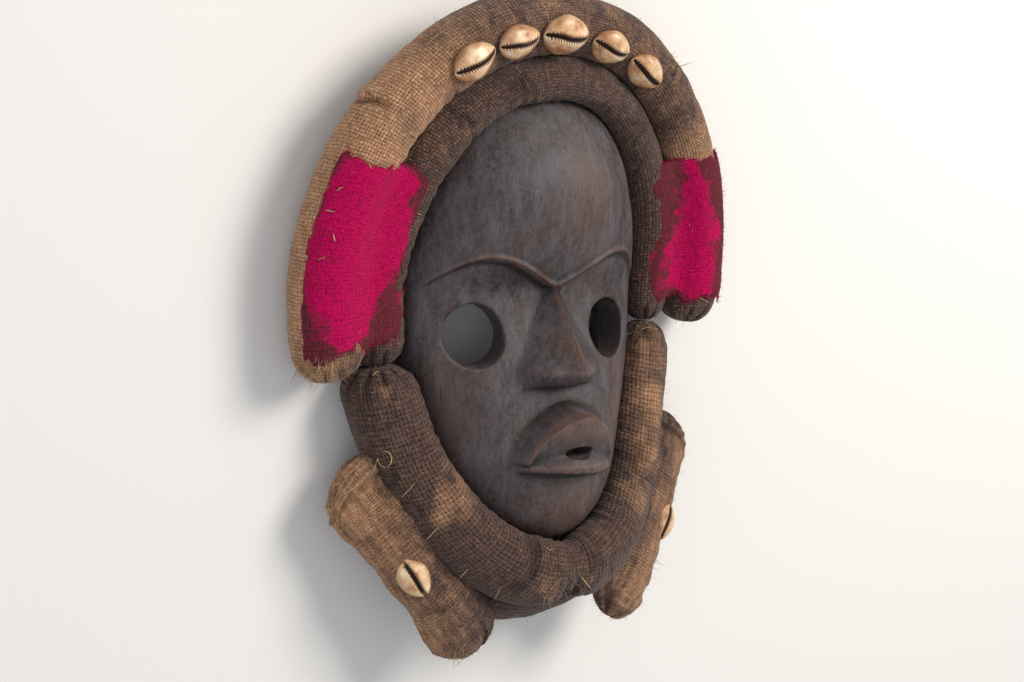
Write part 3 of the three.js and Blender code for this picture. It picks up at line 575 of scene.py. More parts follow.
class Roll:
    """A stuffed roll along the rim: out, lift and radius are read at a rim angle between start and end."""

    def __init__(self, start, end, out, lift, radius, presses=()):
        self.start, self.end = math.radians(start), math.radians(end)
        self.out, self.lift, self.radius, self.presses = out, lift, radius, presses
        self.angles = np.linspace(self.start, self.end, 1200)
        middle = beside_rim(self.angles, out(self.angles), lift(self.angles))
        self.run = np.concatenate([[0], np.cumsum(np.linalg.norm(np.diff(middle, axis=0), axis=1))])
        self.length = self.run[-1]

    def slope(self, angle):
        """How steeply the middle line climbs, as the ratio of its length to its length on the plan."""
        d = 0.01
        delta = beside_rim(angle + d, self.out(angle + d), self.lift(angle + d)) - beside_rim(
            angle - d, self.out(angle - d), self.lift(angle - d))
        return np.linalg.norm(delta, axis=-1) / np.linalg.norm(delta[..., :2], axis=-1)

    def holds(self, angle, out, height, clear):
        """Whether points at a rim angle, out from the rim and at a height, lie in the roll grown by clear."""
        a = wrapped(angle, self.start, self.end)
        inside = np.clip(a, self.start, self.end)
        run = np.interp(inside, self.angles, self.run)
        beyond = np.abs(a - inside) * (FACE_HALF_WIDTH + self.out(inside))
        radius = self.radius(inside)
        full = roundness(np.clip((np.minimum(run, self.length - run) - beyond + clear) / radius, 0, 1))
        across, up = out - self.out(inside), (height - self.lift(inside)) / self.slope(inside)
        return (np.hypot(across, up) < (radius + clear) * full) & (full > 0)


INNER = Roll(-CROWN_LEFT_END, CROWN_RIGHT_END, inner_out, inner_lift, inner_radius, [(150, INNER_CROWN_PRESS)])
OUTER = Roll(-CROWN_LEFT_END, CROWN_RIGHT_END, outer_out, outer_lift, outer_radius, [(180, 2.5)])
FRONT = Roll(
    -FRONT_CHIN_LEFT_END, FRONT_CHIN_RIGHT_END - 360, front_chin_out,
    lambda a: lerp(FRONT_CHIN_RADIUS, FRONT_CHIN_LIFT, under_chin(a)), front_chin_radius,
    [(150, CHIN_PRESS), (-60, 1.5)],
)
BACK = Roll(
    -BACK_CHIN_END, BACK_CHIN_END - 360, lambda a: BACK_CHIN_OUT + 0 * a,
    lambda a: lerp(BACK_CHIN_RADIUS, BACK_CHIN_LIFT, under_chin(a)), lambda a: BACK_CHIN_RADIUS + 0 * a,
    [(120, 2.5)],
)


def clear_reach(angle, out, height, way_out, way_up, reach, neighbours, wood_clear):
    """How far each ray from a roll's middle gets, up to reach, before it meets the wood or a neighbouring roll.

    Forty steps along each ray find the first point that is inside something, and eight halvings place it."""
    base, outward = rim_axes(angle)

    def blocked(s):
        o, z = out + way_out * s, height + way_up * s
        x, y = base[..., 0] + outward[..., 0] * o, base[..., 1] + outward[..., 1] * o
        hit = z < room_height(x, y, wood_clear)
        for other, clear in neighbours:
            hit |= other.holds(angle, o, z, clear)
        return hit

    near, far = np.zeros_like(reach), reach.copy()
    found = np.zeros(reach.shape, bool)
    for k in range(1, 41):
        s = reach * k / 40
        hit = blocked(s) & ~found
        far = np.where(hit, s, far)
        near = np.where(found | hit, near, s)
        found |= hit
    for _ in range(8):
        middle = (near + far) / 2
        hit = blocked(middle)
        far = np.where(found & hit, middle, far)
        near = np.where(found & ~hit, middle, near)
    return np.where(found, near, reach)


THREAD = 1.5  # mm from one thread to the next: fine hessian, about 16 threads to the inch
PAD_THREAD = 1.2  # mm, the pads' cloth is a little finer

# Paler worn places on the dark cloth: middle, radius and how clean.
WORN = [
    (-61.3, -71.9, 43.5, 7, 0.5), (-53.6, -65.7, 37.9, 6, 0.5), (-53.3, -76.1, 44.5, 7, 0.55),
    (-65.8, -80.1, 44.1, 5, 0.5),
    (70.2, -19.4, 25.6, 11, 0.45), (69.5, -43.3, 32.7, 12, 0.6), (60.9, -65.9, 40.4, 11, 0.5),
    (48.2, -87, 49.7, 9, 0.25),
    (4.7, -113.4, 61.4, 5, 0.3), (-19, -116.1, 61.5, 6, 0.4), (-84, -23.2, 28.6, 3, 0.5),
    (-80.6, 91.4, 40.5, 7, -0.5),
    (90, 67, 36, 8, 0.25), (-100, -12, 27, 9, -0.55), (-72, 62, 26, 9, 0.15),
]


def cleanness(points, level):
    """How little soot a place on the cloth has taken: its level along the roll, and gaussian spots that differ."""
    for x, y, z, radius, amount in WORN:
        level = level + amount * bump(np.linalg.norm(points - np.array([x, y, z]), axis=-1), radius)
    return np.clip(level, 0, 1)


def stuffed_roll(name, roll, columns, neighbours, material, seed, dents, tones, cad):
    """Rings round the roll's middle line, each in the plane square to the rim.

    A ring's radius is the roll's, less soft dents, puckers on the inside of the bend and pleats at the gathered ends,
    and it ends where the ray meets the wood or a neighbour. tones are pairs of rim angle and cleanness."""
    radius0 = float(roll.radius(np.array(roll.start)))
    cap = radius0 * (1 - np.cos(np.linspace(0, np.pi / 2, 19)))[1:]
    run = np.concatenate([cap[:-1], np.arange(radius0, roll.length - radius0, 0.9), roll.length - cap[::-1]])
    angle = np.interp(run, roll.run, roll.angles)[:, None]
    turn = np.linspace(0, TAU, columns, endpoint=False)[None, :]
    to_end = np.minimum(run, roll.length - run)[:, None]
    run = run[:, None]
    slope = roll.slope(angle)
    way_out, way_up = np.cos(turn) + 0 * angle, np.sin(turn) * slope
    push = sum(amount * np.maximum(0, np.cos(turn - math.radians(way))) ** 2 for way, amount in roll.presses)
    radius = roll.radius(angle)
    place = np.stack([run + 0 * turn, 14 * np.cos(turn) + 0 * run, 14 * np.sin(turn) + 0 * run], -1)
    lumps = place * [0.55, 1, 1]
    dent = 0.7 * (noise(lumps, 13, seed) - 0.5) + 0.3 * noise(place, 7, seed + 1) + 0.12 * noise(place, 3.1, seed + 2)
    creased = place * [1, 0.35, 0.35]
    crease = -0.75 * np.maximum(0, 1 - np.abs(noise(creased, 9, seed + 5)) / 0.16)
    crease = crease * step(noise(place, 24, seed + 6), 0, 0.4)
    inner_side = np.maximum(0, -np.cos(turn)) ** 2
    pucker = -0.45 * inner_side * (0.5 + 0.5 * np.sin(run / 1.15 + 2.2 * noise(place, 16, seed + 3)))
    fold = np.cos(9 * turn + 2.6 * noise(place, 9, seed + 4) + seed)
    pleat = -2.4 * bump(to_end / (0.62 * radius0), 1) * np.maximum(0, fold) ** 1.5
    reach = radius + push + dent + crease + pucker + pleat + dents(run, turn, angle, place)
    reach = np.maximum(reach * roundness(np.clip(to_end / radius0, 0, 1)), 0.02)
    out, lift = roll.out(angle) + 0 * turn, roll.lift(angle) + 0 * turn
    limit = clear_reach(angle + 0 * turn, out, lift, way_out, way_up, reach, neighbours, 0.5)
    reach = np.minimum(reach, limit)
    rings = beside_rim(angle + 0 * turn, out + way_out * reach, np.maximum(lift + way_up * reach, 0))
    around = np.linspace(0, 2 * THREAD * round(TAU * float(np.median(radius)) / (2 * THREAD)), columns + 1)
    points, faces, uv = closed_tube(rings, run[:, 0], around)
    faces, uv = face_outwards(points, faces, uv)
    level = np.interp(np.degrees(angle), *np.array(sorted(tones)).T) + 0 * turn
    clean = cleanness(rings, level)
    # Painted shade: the deeper a pleat, crease or dent, the darker the cloth is coloured there.
    fold_shade = np.clip(-pleat / 2 - crease - np.minimum(dents(run, turn, angle, place), 0) / 2, 0, 1)
    piece = put_mesh(name, points, faces, material, uv=uv, replaces=[cad],
                     attributes={"clean": with_poles(clean), "fold": with_poles(fold_shade)})
    return piece


def no_dents(run, turn, angle, place):
    return 0 * run * turn


def outer_dents(run, turn, angle, place):
    """A tuck in the cloth at the upper left: a lip, and a sharp step down after it."""
    past = (np.degrees(angle) + 50.5) * 1.7 + 1.4 * noise(place, 8, 91)
    over = np.maximum(0, np.cos(turn - math.radians(15))) ** 3
    return over * (1.1 * bump(past - 2.2, 2.2) - 1.9 * bump(past + 0.8, 1.7))


def inner_dents(run, turn, angle, place):
    """Small gathers where the roll was drawn round the forehead."""
    past = (np.degrees(angle) + 41) * 1.6 + 1.8 * noise(place, 7, 92)
    return -1.1 * bump(past, 1.4) * np.maximum(0, np.cos(turn - math.radians(90))) ** 0.8


def join_dents(run, turn, angle, place):
    """Under the chin the two lengths of the roll meet in wrinkles, and a seam ridge runs along the right outer side."""
    from_join = (angle + np.pi) * (FACE_HALF_WIDTH - 20) + 2.6 * noise(place, 6, 93)
    wrinkle = np.cos(from_join * 1.5 + 1.4 * noise(place, 5, 94))
    ridge = 0.8 * bump((turn - math.radians(15)) * 14, 1.1) * step(-np.degrees(angle), 184, 192) * step(
        -np.degrees(angle), 232, 218)
    outer = (0.5 + 0.5 * np.cos(turn - math.radians(60))) ** 1.4
    to_chin = 2.2 * bump(from_join, 15) * np.maximum(0, np.cos(turn - math.radians(145))) ** 1.5
    wrinkles = -1.3 * bump(from_join, 1.7) - 0.9 * bump(from_join, 6.5) * np.maximum(0, wrinkle)
    return wrinkles * outer + ridge + to_chin


def rim_place(points):
    """Rim angle, distance out from the rim and height of points, by six rounds of correcting a first guess."""
    x, y, z = points[..., 0], points[..., 1], points[..., 2]
    angle = np.arctan2(x, (y - WIDEST_Y) * 0.75)
    for _ in range(6):
        base, outward = rim_axes(angle)
        dx, dy = x - base[..., 0], y - base[..., 1]
        along = dx * outward[..., 1] - dy * outward[..., 0]
        out = dx * outward[..., 0] + dy * outward[..., 1]
        angle = angle + 0.8 * along / np.maximum(80 + out, 40)
    return angle, out, z


def pushed_clear(points, neighbours):
    """Moves points that lie inside a roll straight out of it, away from its middle line."""
    angle, out, height = rim_place(points)
    for roll, clear in neighbours:
        a = np.clip(wrapped(angle, roll.start, roll.end), roll.start, roll.end)
        across, up = out - roll.out(a), height - roll.lift(a)
        distance = np.maximum(np.hypot(across, up), 1e-6)
        grow = np.where(roll.holds(angle, out, height, clear), (roll.radius(a) + clear) / distance, 1)
        out, height = roll.out(a) + across * grow, roll.lift(a) + up * grow
    return beside_rim(angle, out, height)


# ---------------------------------------------------------------- pads

def pad_axes(side):
    """The pad's upper end, its length and its axes: along it, across it and out of its face."""
    top = beside_rim(np.array(side * math.radians(PAD_TOP_ANGLE)), PAD_TOP_OUT[side], PAD_TOP_LIFT)
    bottom = beside_rim(np.array(side * math.radians(PAD_BOTTOM_ANGLE)), PAD_BOTTOM_OUT[side], PAD_BOTTOM_LIFT)
    length = float(np.linalg.norm(bottom - top))
    forward = (bottom - top) / length
    across = unit(np.cross(forward, [side * 0.19, 0.14, 0.96]))
    return top, length, forward, across, np.cross(across, forward)


def blown(cage, frames=20):
    """Blows a closed cage up like a stuffed bag with Blender's cloth, its two ends held, and returns its points."""
    rows, columns = cage.shape[:2]
    points, faces, _ = closed_tube(cage, np.arange(rows), np.arange(columns + 1))
    faces, _ = face_outwards(points, faces)
    mesh = bpy.data.meshes.new("cage")
    mesh.from_pydata((points * MM).tolist(), [], [f.tolist() for part in faces for f in part])
    bag = bpy.data.objects.new("cage", mesh)
    bpy.context.scene.collection.objects.link(bag)
    held = bag.vertex_groups.new(name="held")
    held.add([*range(2 * columns), *range((rows - 2) * columns, rows * columns + 2)], 1.0, "REPLACE")
    cloth = bag.modifiers.new("cloth", "CLOTH")
    cloth.settings.vertex_group_mass = "held"
    cloth.settings.mass = 0.002
    cloth.settings.use_pressure = True
    cloth.settings.uniform_pressure_force = 4
    cloth.settings.shrink_min = -0.03
    cloth.settings.effector_weights.gravity = 0
    cloth.point_cache.frame_end = frames
    for number in range(1, frames + 1):
        bpy.context.scene.frame_set(number)
    shaped = bag.evaluated_get(bpy.context.evaluated_depsgraph_get()).data
    result = np.empty(len(shaped.vertices) * 3, np.float32)
    shaped.vertices.foreach_get("co", result)
    bpy.data.objects.remove(bag)
    bpy.context.scene.frame_set(1)
    return result.reshape(-1, 3)[:rows * columns].reshape(rows, columns, 3) / MM


def side_pad(name, side, material, seed, tones, cad):
    """A flat bag: rings along its line, each a squarish oval that is widest at its two seams.

    Its outer upper corner is folded down, and its lower end is gathered in lobes round a knot. Cloth simulation fills
    it, no point moving by more than 3 mm, and creases come after that."""
    top, length, forward, across, lifted = pad_axes(side)
    rows, columns = 92, 96
    t = np.linspace(0, 1, rows + 2)[1:-1]
    share = ((1 - np.cos(np.pi * t)) / 4 + t / 2)[:, None]
    turn = np.linspace(0, TAU, columns, endpoint=False)[None, :]
    c, s = np.cos(turn), np.sin(turn)
    outwards = -side * c  # 1 on the edge away from the chin
    cap = PAD_HALF_DEPTH * (1.2 - 0.65 * np.maximum(outwards, 0) * (share < 0.5))
    full = roundness(np.clip(np.minimum(share, 1 - share) * length / cap, 0, 1))
    drawn = step(share, 0.86, 1)
    wide = PAD_HALF_WIDTH * full * (1 - 0.22 * drawn)
    deep = PAD_HALF_DEPTH * full**1.3 * (1 - 0.2 * drawn)
    place = np.stack([share * length + 0 * turn, wide * c, deep * s], -1)
    skew = 9 * np.maximum(outwards, 0) ** 1.5 * (1 - step(share, 0, 0.3))

    def bag(wide, deep, extra):
        swelling = (wide + extra) * np.sign(c) * np.abs(c) ** 0.85
        return (
            top + forward * (share * length + skew)[..., None] + across * swelling[..., None]
            + lifted * ((deep + extra) * np.sign(s) * np.abs(s) ** 1.05)[..., None]
        )

    rings = bag(wide, deep, 0)
    cage = rings[::2, ::2]
    moved = blown(cage) - cage
    moved *= np.minimum(1, 3 / np.maximum(np.linalg.norm(moved, axis=-1, keepdims=True), 1e-6))
    row, column = np.arange(rows) / 2, np.arange(columns) / 2
    r0 = np.minimum(row.astype(int), len(cage) - 1)
    r1, c0 = np.minimum(r0 + 1, len(cage) - 1), column.astype(int)
    c1 = (c0 + 1) % cage.shape[1]
    along_rows = lerp(moved[r0], moved[r1], (row - r0)[:, None, None])
    rings = rings + lerp(along_rows[:, c0], along_rows[:, c1], (column - c0)[None, :, None])
    normal = unit(lifted * (s * PAD_HALF_WIDTH)[..., None] + across * (c * PAD_HALF_DEPTH)[..., None])
    dent = 0.6 * (noise(place, 13, seed) - 0.5) + 0.35 * noise(place, 6, seed + 1) + 0.12 * noise(place, 2.6, seed + 2)
    crease = -0.8 * np.maximum(0, 1 - np.abs(noise(place * [0.5, 1, 1], 11, seed + 3)) / 0.15)
    lobes = np.maximum(0, np.cos(7 * turn + 1.5 * noise(place, 8, seed + 4)))
    gather = -1.8 * lobes * step(share, 0.88, 0.98)
    fold = -1.3 * bump((share * length + skew - 12 + 5 * outwards) / 1.5, 1) * np.maximum(outwards, 0)
    stitch_pull = -0.6 * bump((outwards + 0.82) * 9, 1) * (0.5 + 0.5 * np.cos(TAU * share * length / 15))
    relief = dent + crease + gather + fold + stitch_pull
    rings = rings + normal * relief[..., None]
    rings = pushed_clear(rings, [(FRONT, 0.5), (BACK, 0.5)])
    rings[..., 2] = np.maximum(rings[..., 2], 0)
    around = np.linspace(0, 2 * THREAD * round(88 / (2 * PAD_THREAD)), columns + 1)
    points, faces, uv = closed_tube(rings, share[:, 0] * length * THREAD / PAD_THREAD, around)
    faces, uv = face_outwards(points, faces, uv)
    level = np.interp(share, *np.array(tones).T) + 0.33 * outwards
    # fold is painted shade: the cloth is coloured darker in its creases, gathers and corner fold.
    piece = put_mesh(name, points, faces, material, uv=uv, replaces=[cad], attributes={
        "clean": with_poles(np.clip(level, 0, 1)), "fold": with_poles(np.clip(-(crease + gather + fold) / 2, 0, 1)),
    })
    return piece


# ---------------------------------------------------------------- felt patches

def over_crown_rolls(angle, across, height):
    """A point over both crown rolls: round the outer one, over the groove with some sag, and round the inner one."""
    outer = np.stack([outer_out(angle), outer_lift(angle)], -1)
    inner = np.stack([inner_out(angle), inner_lift(angle)], -1)
    big, small = outer_radius(angle), inner_radius(angle)
    apart = outer - inner
    distance = np.linalg.norm(apart, axis=-1)
    heading = np.arctan2(apart[..., 1], apart[..., 0])
    bridge_lean = heading + np.arccos((small - big) / distance)
    start, end = math.radians(FELT_OUTER_LEAN), math.radians(FELT_INNER_LEAN)
    outer_arc = (bridge_lean - start) * big
    bridge = distance * np.sin(bridge_lean - heading)
    run = across * (outer_arc + bridge + (end - bridge_lean) * small)
    share = np.clip((run - outer_arc) / bridge, 0, 1)
    round_inner = bridge_lean + (run - outer_arc - bridge) / small
    lean = np.where(run < outer_arc, start + run / big, np.where(share < 1, bridge_lean, round_inner))
    reach = lerp(big, small, share) - FELT_SAG * np.sin(np.pi * share) ** 2 + height
    centre = outer + (inner - outer) * share[..., None]
    return beside_rim(angle, centre[..., 0] + reach * np.cos(lean), centre[..., 1] + reach * np.sin(lean)), run


# Where the felt has kept its dye: share of the way down it, and from where to where across it.
DYED = {
    -1: [(0, 0.1, 0.5), (0.08, 0.03, 0.8), (0.45, 0.01, 0.79), (0.62, 0.01, 0.76), (0.76, 0.04, 0.62), (0.86, 0.12, 0.5),
         (0.94, 0.2, 0.44), (1, 0.3, 0.4)],
    1: [(0, 0.38, 0.42), (0.12, 0.34, 0.47), (0.3, 0.3, 0.56), (0.5, 0.29, 0.65), (0.8, 0.29, 0.68), (0.92, 0.33, 0.6),
        (1, 0.4, 0.46)],
}


def felt_patch(name, side, material, seed, cad):
    """A sheet over both rolls with ragged edges, lying closer to the cloth at its edges. Returns it, its border and all its points."""
    roll_end = CROWN_LEFT_END if side < 0 else CROWN_RIGHT_END
    rows, columns = 130, 110
    v, u = np.meshgrid(np.linspace(0, 1, rows), np.linspace(0, 1, columns), indexing="ij")
    place = np.stack([v * 62, u * 70, 0 * u], -1)
    edge = np.minimum.reduce([u * 70, (1 - u) * 70, v * 62, (1 - v) * 62])
    ragged = bump(edge, 3)
    wander_v = (2.2 * noise(place, 9, seed) + 1.1 * noise(place, 2.6, seed + 1)) * ragged / 62
    wander_u = (1.6 * noise(place, 9, seed + 2) + 0.9 * noise(place, 2.4, seed + 3)) * ragged / 70
    u2, v2 = np.clip(u * 0.97 + 0.015 + wander_u, 0, 1), np.clip(v * 0.95 + 0.025 + wander_v, 0, 1)
    degrees = lerp(FELT_TOP - FELT_TOP_SKEW * u2, roll_end - FELT_SHORT_OF_END, v2)
    angle = side * np.radians(degrees)
    ripple = 0.3 * (0.5 + 0.5 * noise(place, 9, seed + 4)) + 0.12 * noise(place, 3, seed + 5)
    ripple = ripple + 0.06 * noise(place, 1.2, seed + 6)
    lift = 0.3 + (0.25 + ripple) * (1 - ragged)
    thick = 0.9 - 0.5 * bump(edge, 0.9)
    under, run = over_crown_rolls(angle, u2, lift)
    over, _ = over_crown_rolls(angle, u2, lift + thick)
    points = np.concatenate([over.reshape(-1, 3), under.reshape(-1, 3)])
    quads = grid_quads(rows, columns, False)
    count = rows * columns
    index = np.arange(count).reshape(rows, columns)
    border = np.concatenate([index[0, :-1], index[:-1, -1], index[-1, :0:-1], index[:0:-1, 0]])
    after = np.roll(border, -1)
    wall = np.stack([border, border + count, after + count, after], -1)
    faces = [quads, quads[:, ::-1] + count, wall]
    sheet_uv = np.stack([run, np.radians(degrees) * 105], -1).reshape(-1, 2) * MM
    uv = [sheet_uv[quads], sheet_uv[quads[:, ::-1]], sheet_uv[np.stack([border, border, after, after], -1)]]
    faces, uv = face_outwards(points, faces, uv)
    down, from_u, to_u = np.array(DYED[side]).T
    wander = 0.08 * noise(place, 11, seed + 7) + 0.05 * noise(place, 4, seed + 8) + 0.03 * noise(place, 1.7, seed + 9)
    inside = np.minimum(u2 - np.interp(v2, down, from_u), np.interp(v2, down, to_u) - u2) + wander
    spots = 0.55 * step(noise(place, 7, seed + 10), 0.3, 0.6)
    soil = np.tile((step(-inside, -0.08, 0.13) - spots * step(u2, 0.66, 0.8)).ravel(), 2)
    piece = put_mesh(name, points, faces, material, uv=uv, replaces=[cad],
                     attributes={"soil": np.clip(soil + 0.25 * np.tile(bump(edge.ravel(), 2), 2), 0, 1)})
    flat = over.reshape(-1, 3)
    return piece, flat[border], flat


# ---------------------------------------------------------------- cowries

def cowrie(name, origin, axes, size, material, seed, clear, cad, twist=0.0):
    """An egg, narrower at one end, whose face rolls in on both sides into a slit with teeth.

    Rings run round the shell's length: across = width * cos, out = depth * sin; the slit is a groove of gaussian
    section, and the teeth are a cosine along its lips. twist moves the slit round the shell."""
    rows, columns = 100, 104
    along = -np.cos(np.linspace(0, np.pi, rows + 2)[1:-1])[:, None]
    turn = np.linspace(0, TAU, columns, endpoint=False)[None, :]
    turn = turn - 0.34 * np.sin(2 * (turn - np.pi / 2))
    girth = (1 - np.abs(along) ** 1.75) ** 0.6
    width = COWRIE_WIDTH / 2 * (1 - 0.17 * along) * girth
    x = width * np.cos(turn)
    y = COWRIE_LENGTH / 2 * along + 0 * turn
    z = COWRIE_DEPTH / 2 * girth * np.sin(turn) * np.where(np.sin(turn) > 0, 0.94, 1.0)
    facing = np.maximum(np.sin(turn + twist), 0) + 0 * along
    from_slit = width * np.cos(turn + twist) - 0.5 * np.sin(2.2 * along + 0.4)
    end = step(0.985 - np.abs(along), 0, 0.1)
    slit = bump(from_slit, 0.62 + 0.25 * (1 - along**2)) * end
    lips = bump(np.abs(from_slit) - 1.9, 1.2) * (1 - along**2)
    uneven = 1.1 * noise(np.stack([y, x * 0.3, 0 * x], -1), 3, seed + 2)
    tooth = 0.5 + 0.5 * np.cos(TAU * y / 1.3 + np.where(from_slit > 0, 0.9, 0) + uneven)
    teeth = bump(np.abs(from_slit) - 1.35, 0.8) * step(0.95 - np.abs(along), 0, 0.15)
    relief = facing * (0.45 * lips - 2.0 * slit - 0.5 * teeth * tooth)
    x, z = x + relief * math.sin(twist), z + relief * math.cos(twist)
    x = x + 0.35 * noise(np.stack([x, y, z], -1), 6, seed)
    z = z + 0.25 * noise(np.stack([x, y, z], -1), 4.5, seed + 1)
    rings = clear(origin + size * (x[..., None] * axes[0] + y[..., None] * axes[1] + z[..., None] * axes[2]))
    points, faces, _ = closed_tube(rings, np.arange(rows), np.arange(columns + 1))
    faces, _ = face_outwards(points, faces)
    # Painted shade: the slit and the notches between its teeth are coloured dark, for the shell's shaded inside.
    dark = np.clip(1.2 * slit * (facing > 0) + 0.65 * teeth * tooth * facing, 0, 1)
    # Painted shade: darker where the shell turns away from its face, towards its sides and ends.
    flank = np.clip(1.1 - np.sin(turn + twist) * 1.4, 0, 1) + 0.5 * np.abs(along) ** 6
    return put_mesh(name, points, faces, material, replaces=[cad],
                    attributes={"slit": with_poles(dark), "flank": with_poles(flank)})


def crown_cowrie_place(degrees, lean, size):
    angle = math.radians(degrees)
    here, ahead = (
        beside_rim(np.array(a), OUTER.out(np.array(a)), OUTER.lift(np.array(a))) for a in (angle - 0.01, angle + 0.01)
    )
    forward = unit(ahead - here)
    across = unit(np.cross(forward, [0, 0, 1]))
    out = np.cross(across, forward) * math.cos(math.radians(lean)) + across * math.sin(math.radians(lean))
    middle = (here + ahead) / 2 + out * (float(OUTER.radius(np.array(angle))) + COWRIE_SINK)
    return middle, (np.cross(forward, out), forward, out), size


def pad_cowrie_place(side, share, lean, size):
    top, length, forward, across, lifted = pad_axes(side)
    lean = math.radians(lean)
    outwards = -side * across
    out = lifted * math.cos(lean) + outwards * math.sin(lean)
    turn = math.atan2(PAD_HALF_DEPTH * math.cos(lean), PAD_HALF_WIDTH * math.sin(lean))
    surface = outwards * PAD_HALF_WIDTH * math.cos(turn) + lifted * PAD_HALF_DEPTH * math.sin(turn)
    return top + forward * length * share + surface + out * COWRIE_SINK, (np.cross(forward, out), forward, out), size


# ---------------------------------------------------------------- loose threads

def touch(pixels, pieces):
    """Points and normals, in mm, where rays from the camera through places in its frame first meet the pieces."""
    depsgraph = bpy.context.evaluated_depsgraph_get()
    trees = [BVHTree.FromObject(piece, depsgraph) for piece in pieces]
    found = []
    for px, py in pixels:
        way = Vector(unit((px - FRAME_WIDTH / 2) / FOCAL_PIXELS * RIGHT - (py - FRAME_HEIGHT / 2) / FOCAL_PIXELS * UPPER - BACKWARDS))
        hits = [tree.ray_cast(Vector(EYE_PLACE), way) for tree in trees]
        place, normal, _, _ = min((hit for hit in hits if hit[0] is not None), key=lambda hit: hit[3], default=hits[0])
        if place is not None:
            found.append((np.array(place) / MM - TO_PART, np.array(normal)))
    return np.array([f[0] for f in found]), np.array([f[1] for f in found])


def threads(name, paths, radius, material, sides=5):
    """Many closed tapering tubes as one piece: each path (count, steps, xyz) carries rings of that many sides, whose
    radius falls to nothing at both ends by the fourth power of the distance from the middle."""
    count, steps = paths.shape[:2]
    ahead = unit(np.gradient(paths, axis=1))
    first = unit(np.cross(ahead, [0.31, 0.52, 0.79]))
    second = np.cross(ahead, first)
    share = np.linspace(-1, 1, steps)
    thick = (np.asarray(radius).reshape(-1, 1) * (1 - 0.85 * share**4))[..., None, None]
    ring = np.linspace(0, TAU, sides, endpoint=False)[:, None]
    rings = paths[:, :, None] + thick * (first[:, :, None] * np.cos(ring) + second[:, :, None] * np.sin(ring))
    points = np.concatenate([rings.reshape(count, -1, 3), paths[:, :1], paths[:, -1:]], 1)
    _, (quads, fans), _ = closed_tube(rings[0], np.arange(steps), np.arange(sides + 1))
    (quads, fans), _ = face_outwards(points[0], [quads, fans])
    shift = (np.arange(count) * points.shape[1])[:, None, None]
    faces = [(quads + shift).reshape(-1, 4), (fans + shift).reshape(-1, 3)]
    return put_mesh(name, points.reshape(-1, 3), faces, material)


def curling(starts, ways, lengths, curl, rng, steps=6):
    """Paths that leave their start along a way and bend off by the square of the distance."""
    t = np.linspace(0, 1, steps)[None, :, None]
    lengths = np.asarray(lengths).reshape(-1, 1, 1)
    bend = rng.normal(0, curl, (2, len(starts), 1, 3))
    return starts[:, None] + lengths * (ways[:, None] * t + bend[0] * t * t + bend[1] * np.sin(2.6 * t) * t * 0.6)


def laid(lines, pieces, lift, steps=12):
    """Paths of threads that lie on the pieces under lines drawn in the camera's frame; their ends go into the cloth."""
    paths = []
    for line in lines:
        line = np.array(line, float)
        run = np.concatenate([[0], np.cumsum(np.linalg.norm(np.diff(line, axis=0), axis=1))])
        s = np.linspace(0, run[-1], steps)
        places, normals = touch(np.stack([np.interp(s, run, line[:, 0]), np.interp(s, run, line[:, 1])], -1), pieces)
        if len(places) < steps:
            continue
        normal = unit(normals.mean(0))
        arch = lift * (np.sin(np.pi * np.linspace(0, 1, steps)) ** 0.5 * 1.6 - 0.6)
        paths.append(places + normal * arch[:, None])
    return np.array(paths)


def frayed(spots, pieces, rng):
    """Starts, ways and lengths of fibres that stand out of spots: (x, y, spread, way x, way y, count, length)."""
    starts, ways, lengths = [], [], []
    for px, py, spread, ax, ay, count, length in spots:
        pixels = np.array([px, py]) + rng.normal(0, spread / 2, (count, 2))
        places, normals = touch(pixels, pieces)
        if len(places) == 0:
            continue
        across = ax * RIGHT - ay * UPPER
        way = unit(0.45 * normals + across + rng.normal(0, 0.35, (len(places), 3)))
        starts.append(places - 0.3 * normals)
        ways.append(way)
        lengths.append(length * rng.uniform(0.4, 1.1, len(places)))
    return np.concatenate(starts), np.concatenate(ways), np.concatenate(lengths)


def hairs(pieces, count, rng):
    """Starts and ways of fibres at random points of the pieces' surfaces."""
    starts, ways = [], []
    for piece in pieces:
        size = len(piece.data.vertices)
        places, normals = np.empty(size * 3), np.empty(size * 3)
        piece.data.vertices.foreach_get("co", places)
        piece.data.vertices.foreach_get("normal", normals)
        pick = rng.integers(0, size, count)
        places, normals = places.reshape(-1, 3)[pick] / MM - TO_PART, normals.reshape(-1, 3)[pick]
        above = places[:, 2] > 6
        starts.append((places - 0.2 * normals)[above])
        ways.append(unit(normals * 0.5 + rng.normal(0, 0.6, normals.shape))[above])
    return np.concatenate(starts), np.concatenate(ways)


# ---------------------------------------------------------------- materials

def linear(colour):
    """sRGB hex to linear RGBA."""
    channels = np.array([int(colour[i:i + 2], 16) for i in (1, 3, 5)]) / 255
    values = np.where(channels <= 0.04045, channels / 12.92, ((channels + 0.055) / 1.055) ** 2.4)
    return (*values.tolist(), 1.0)


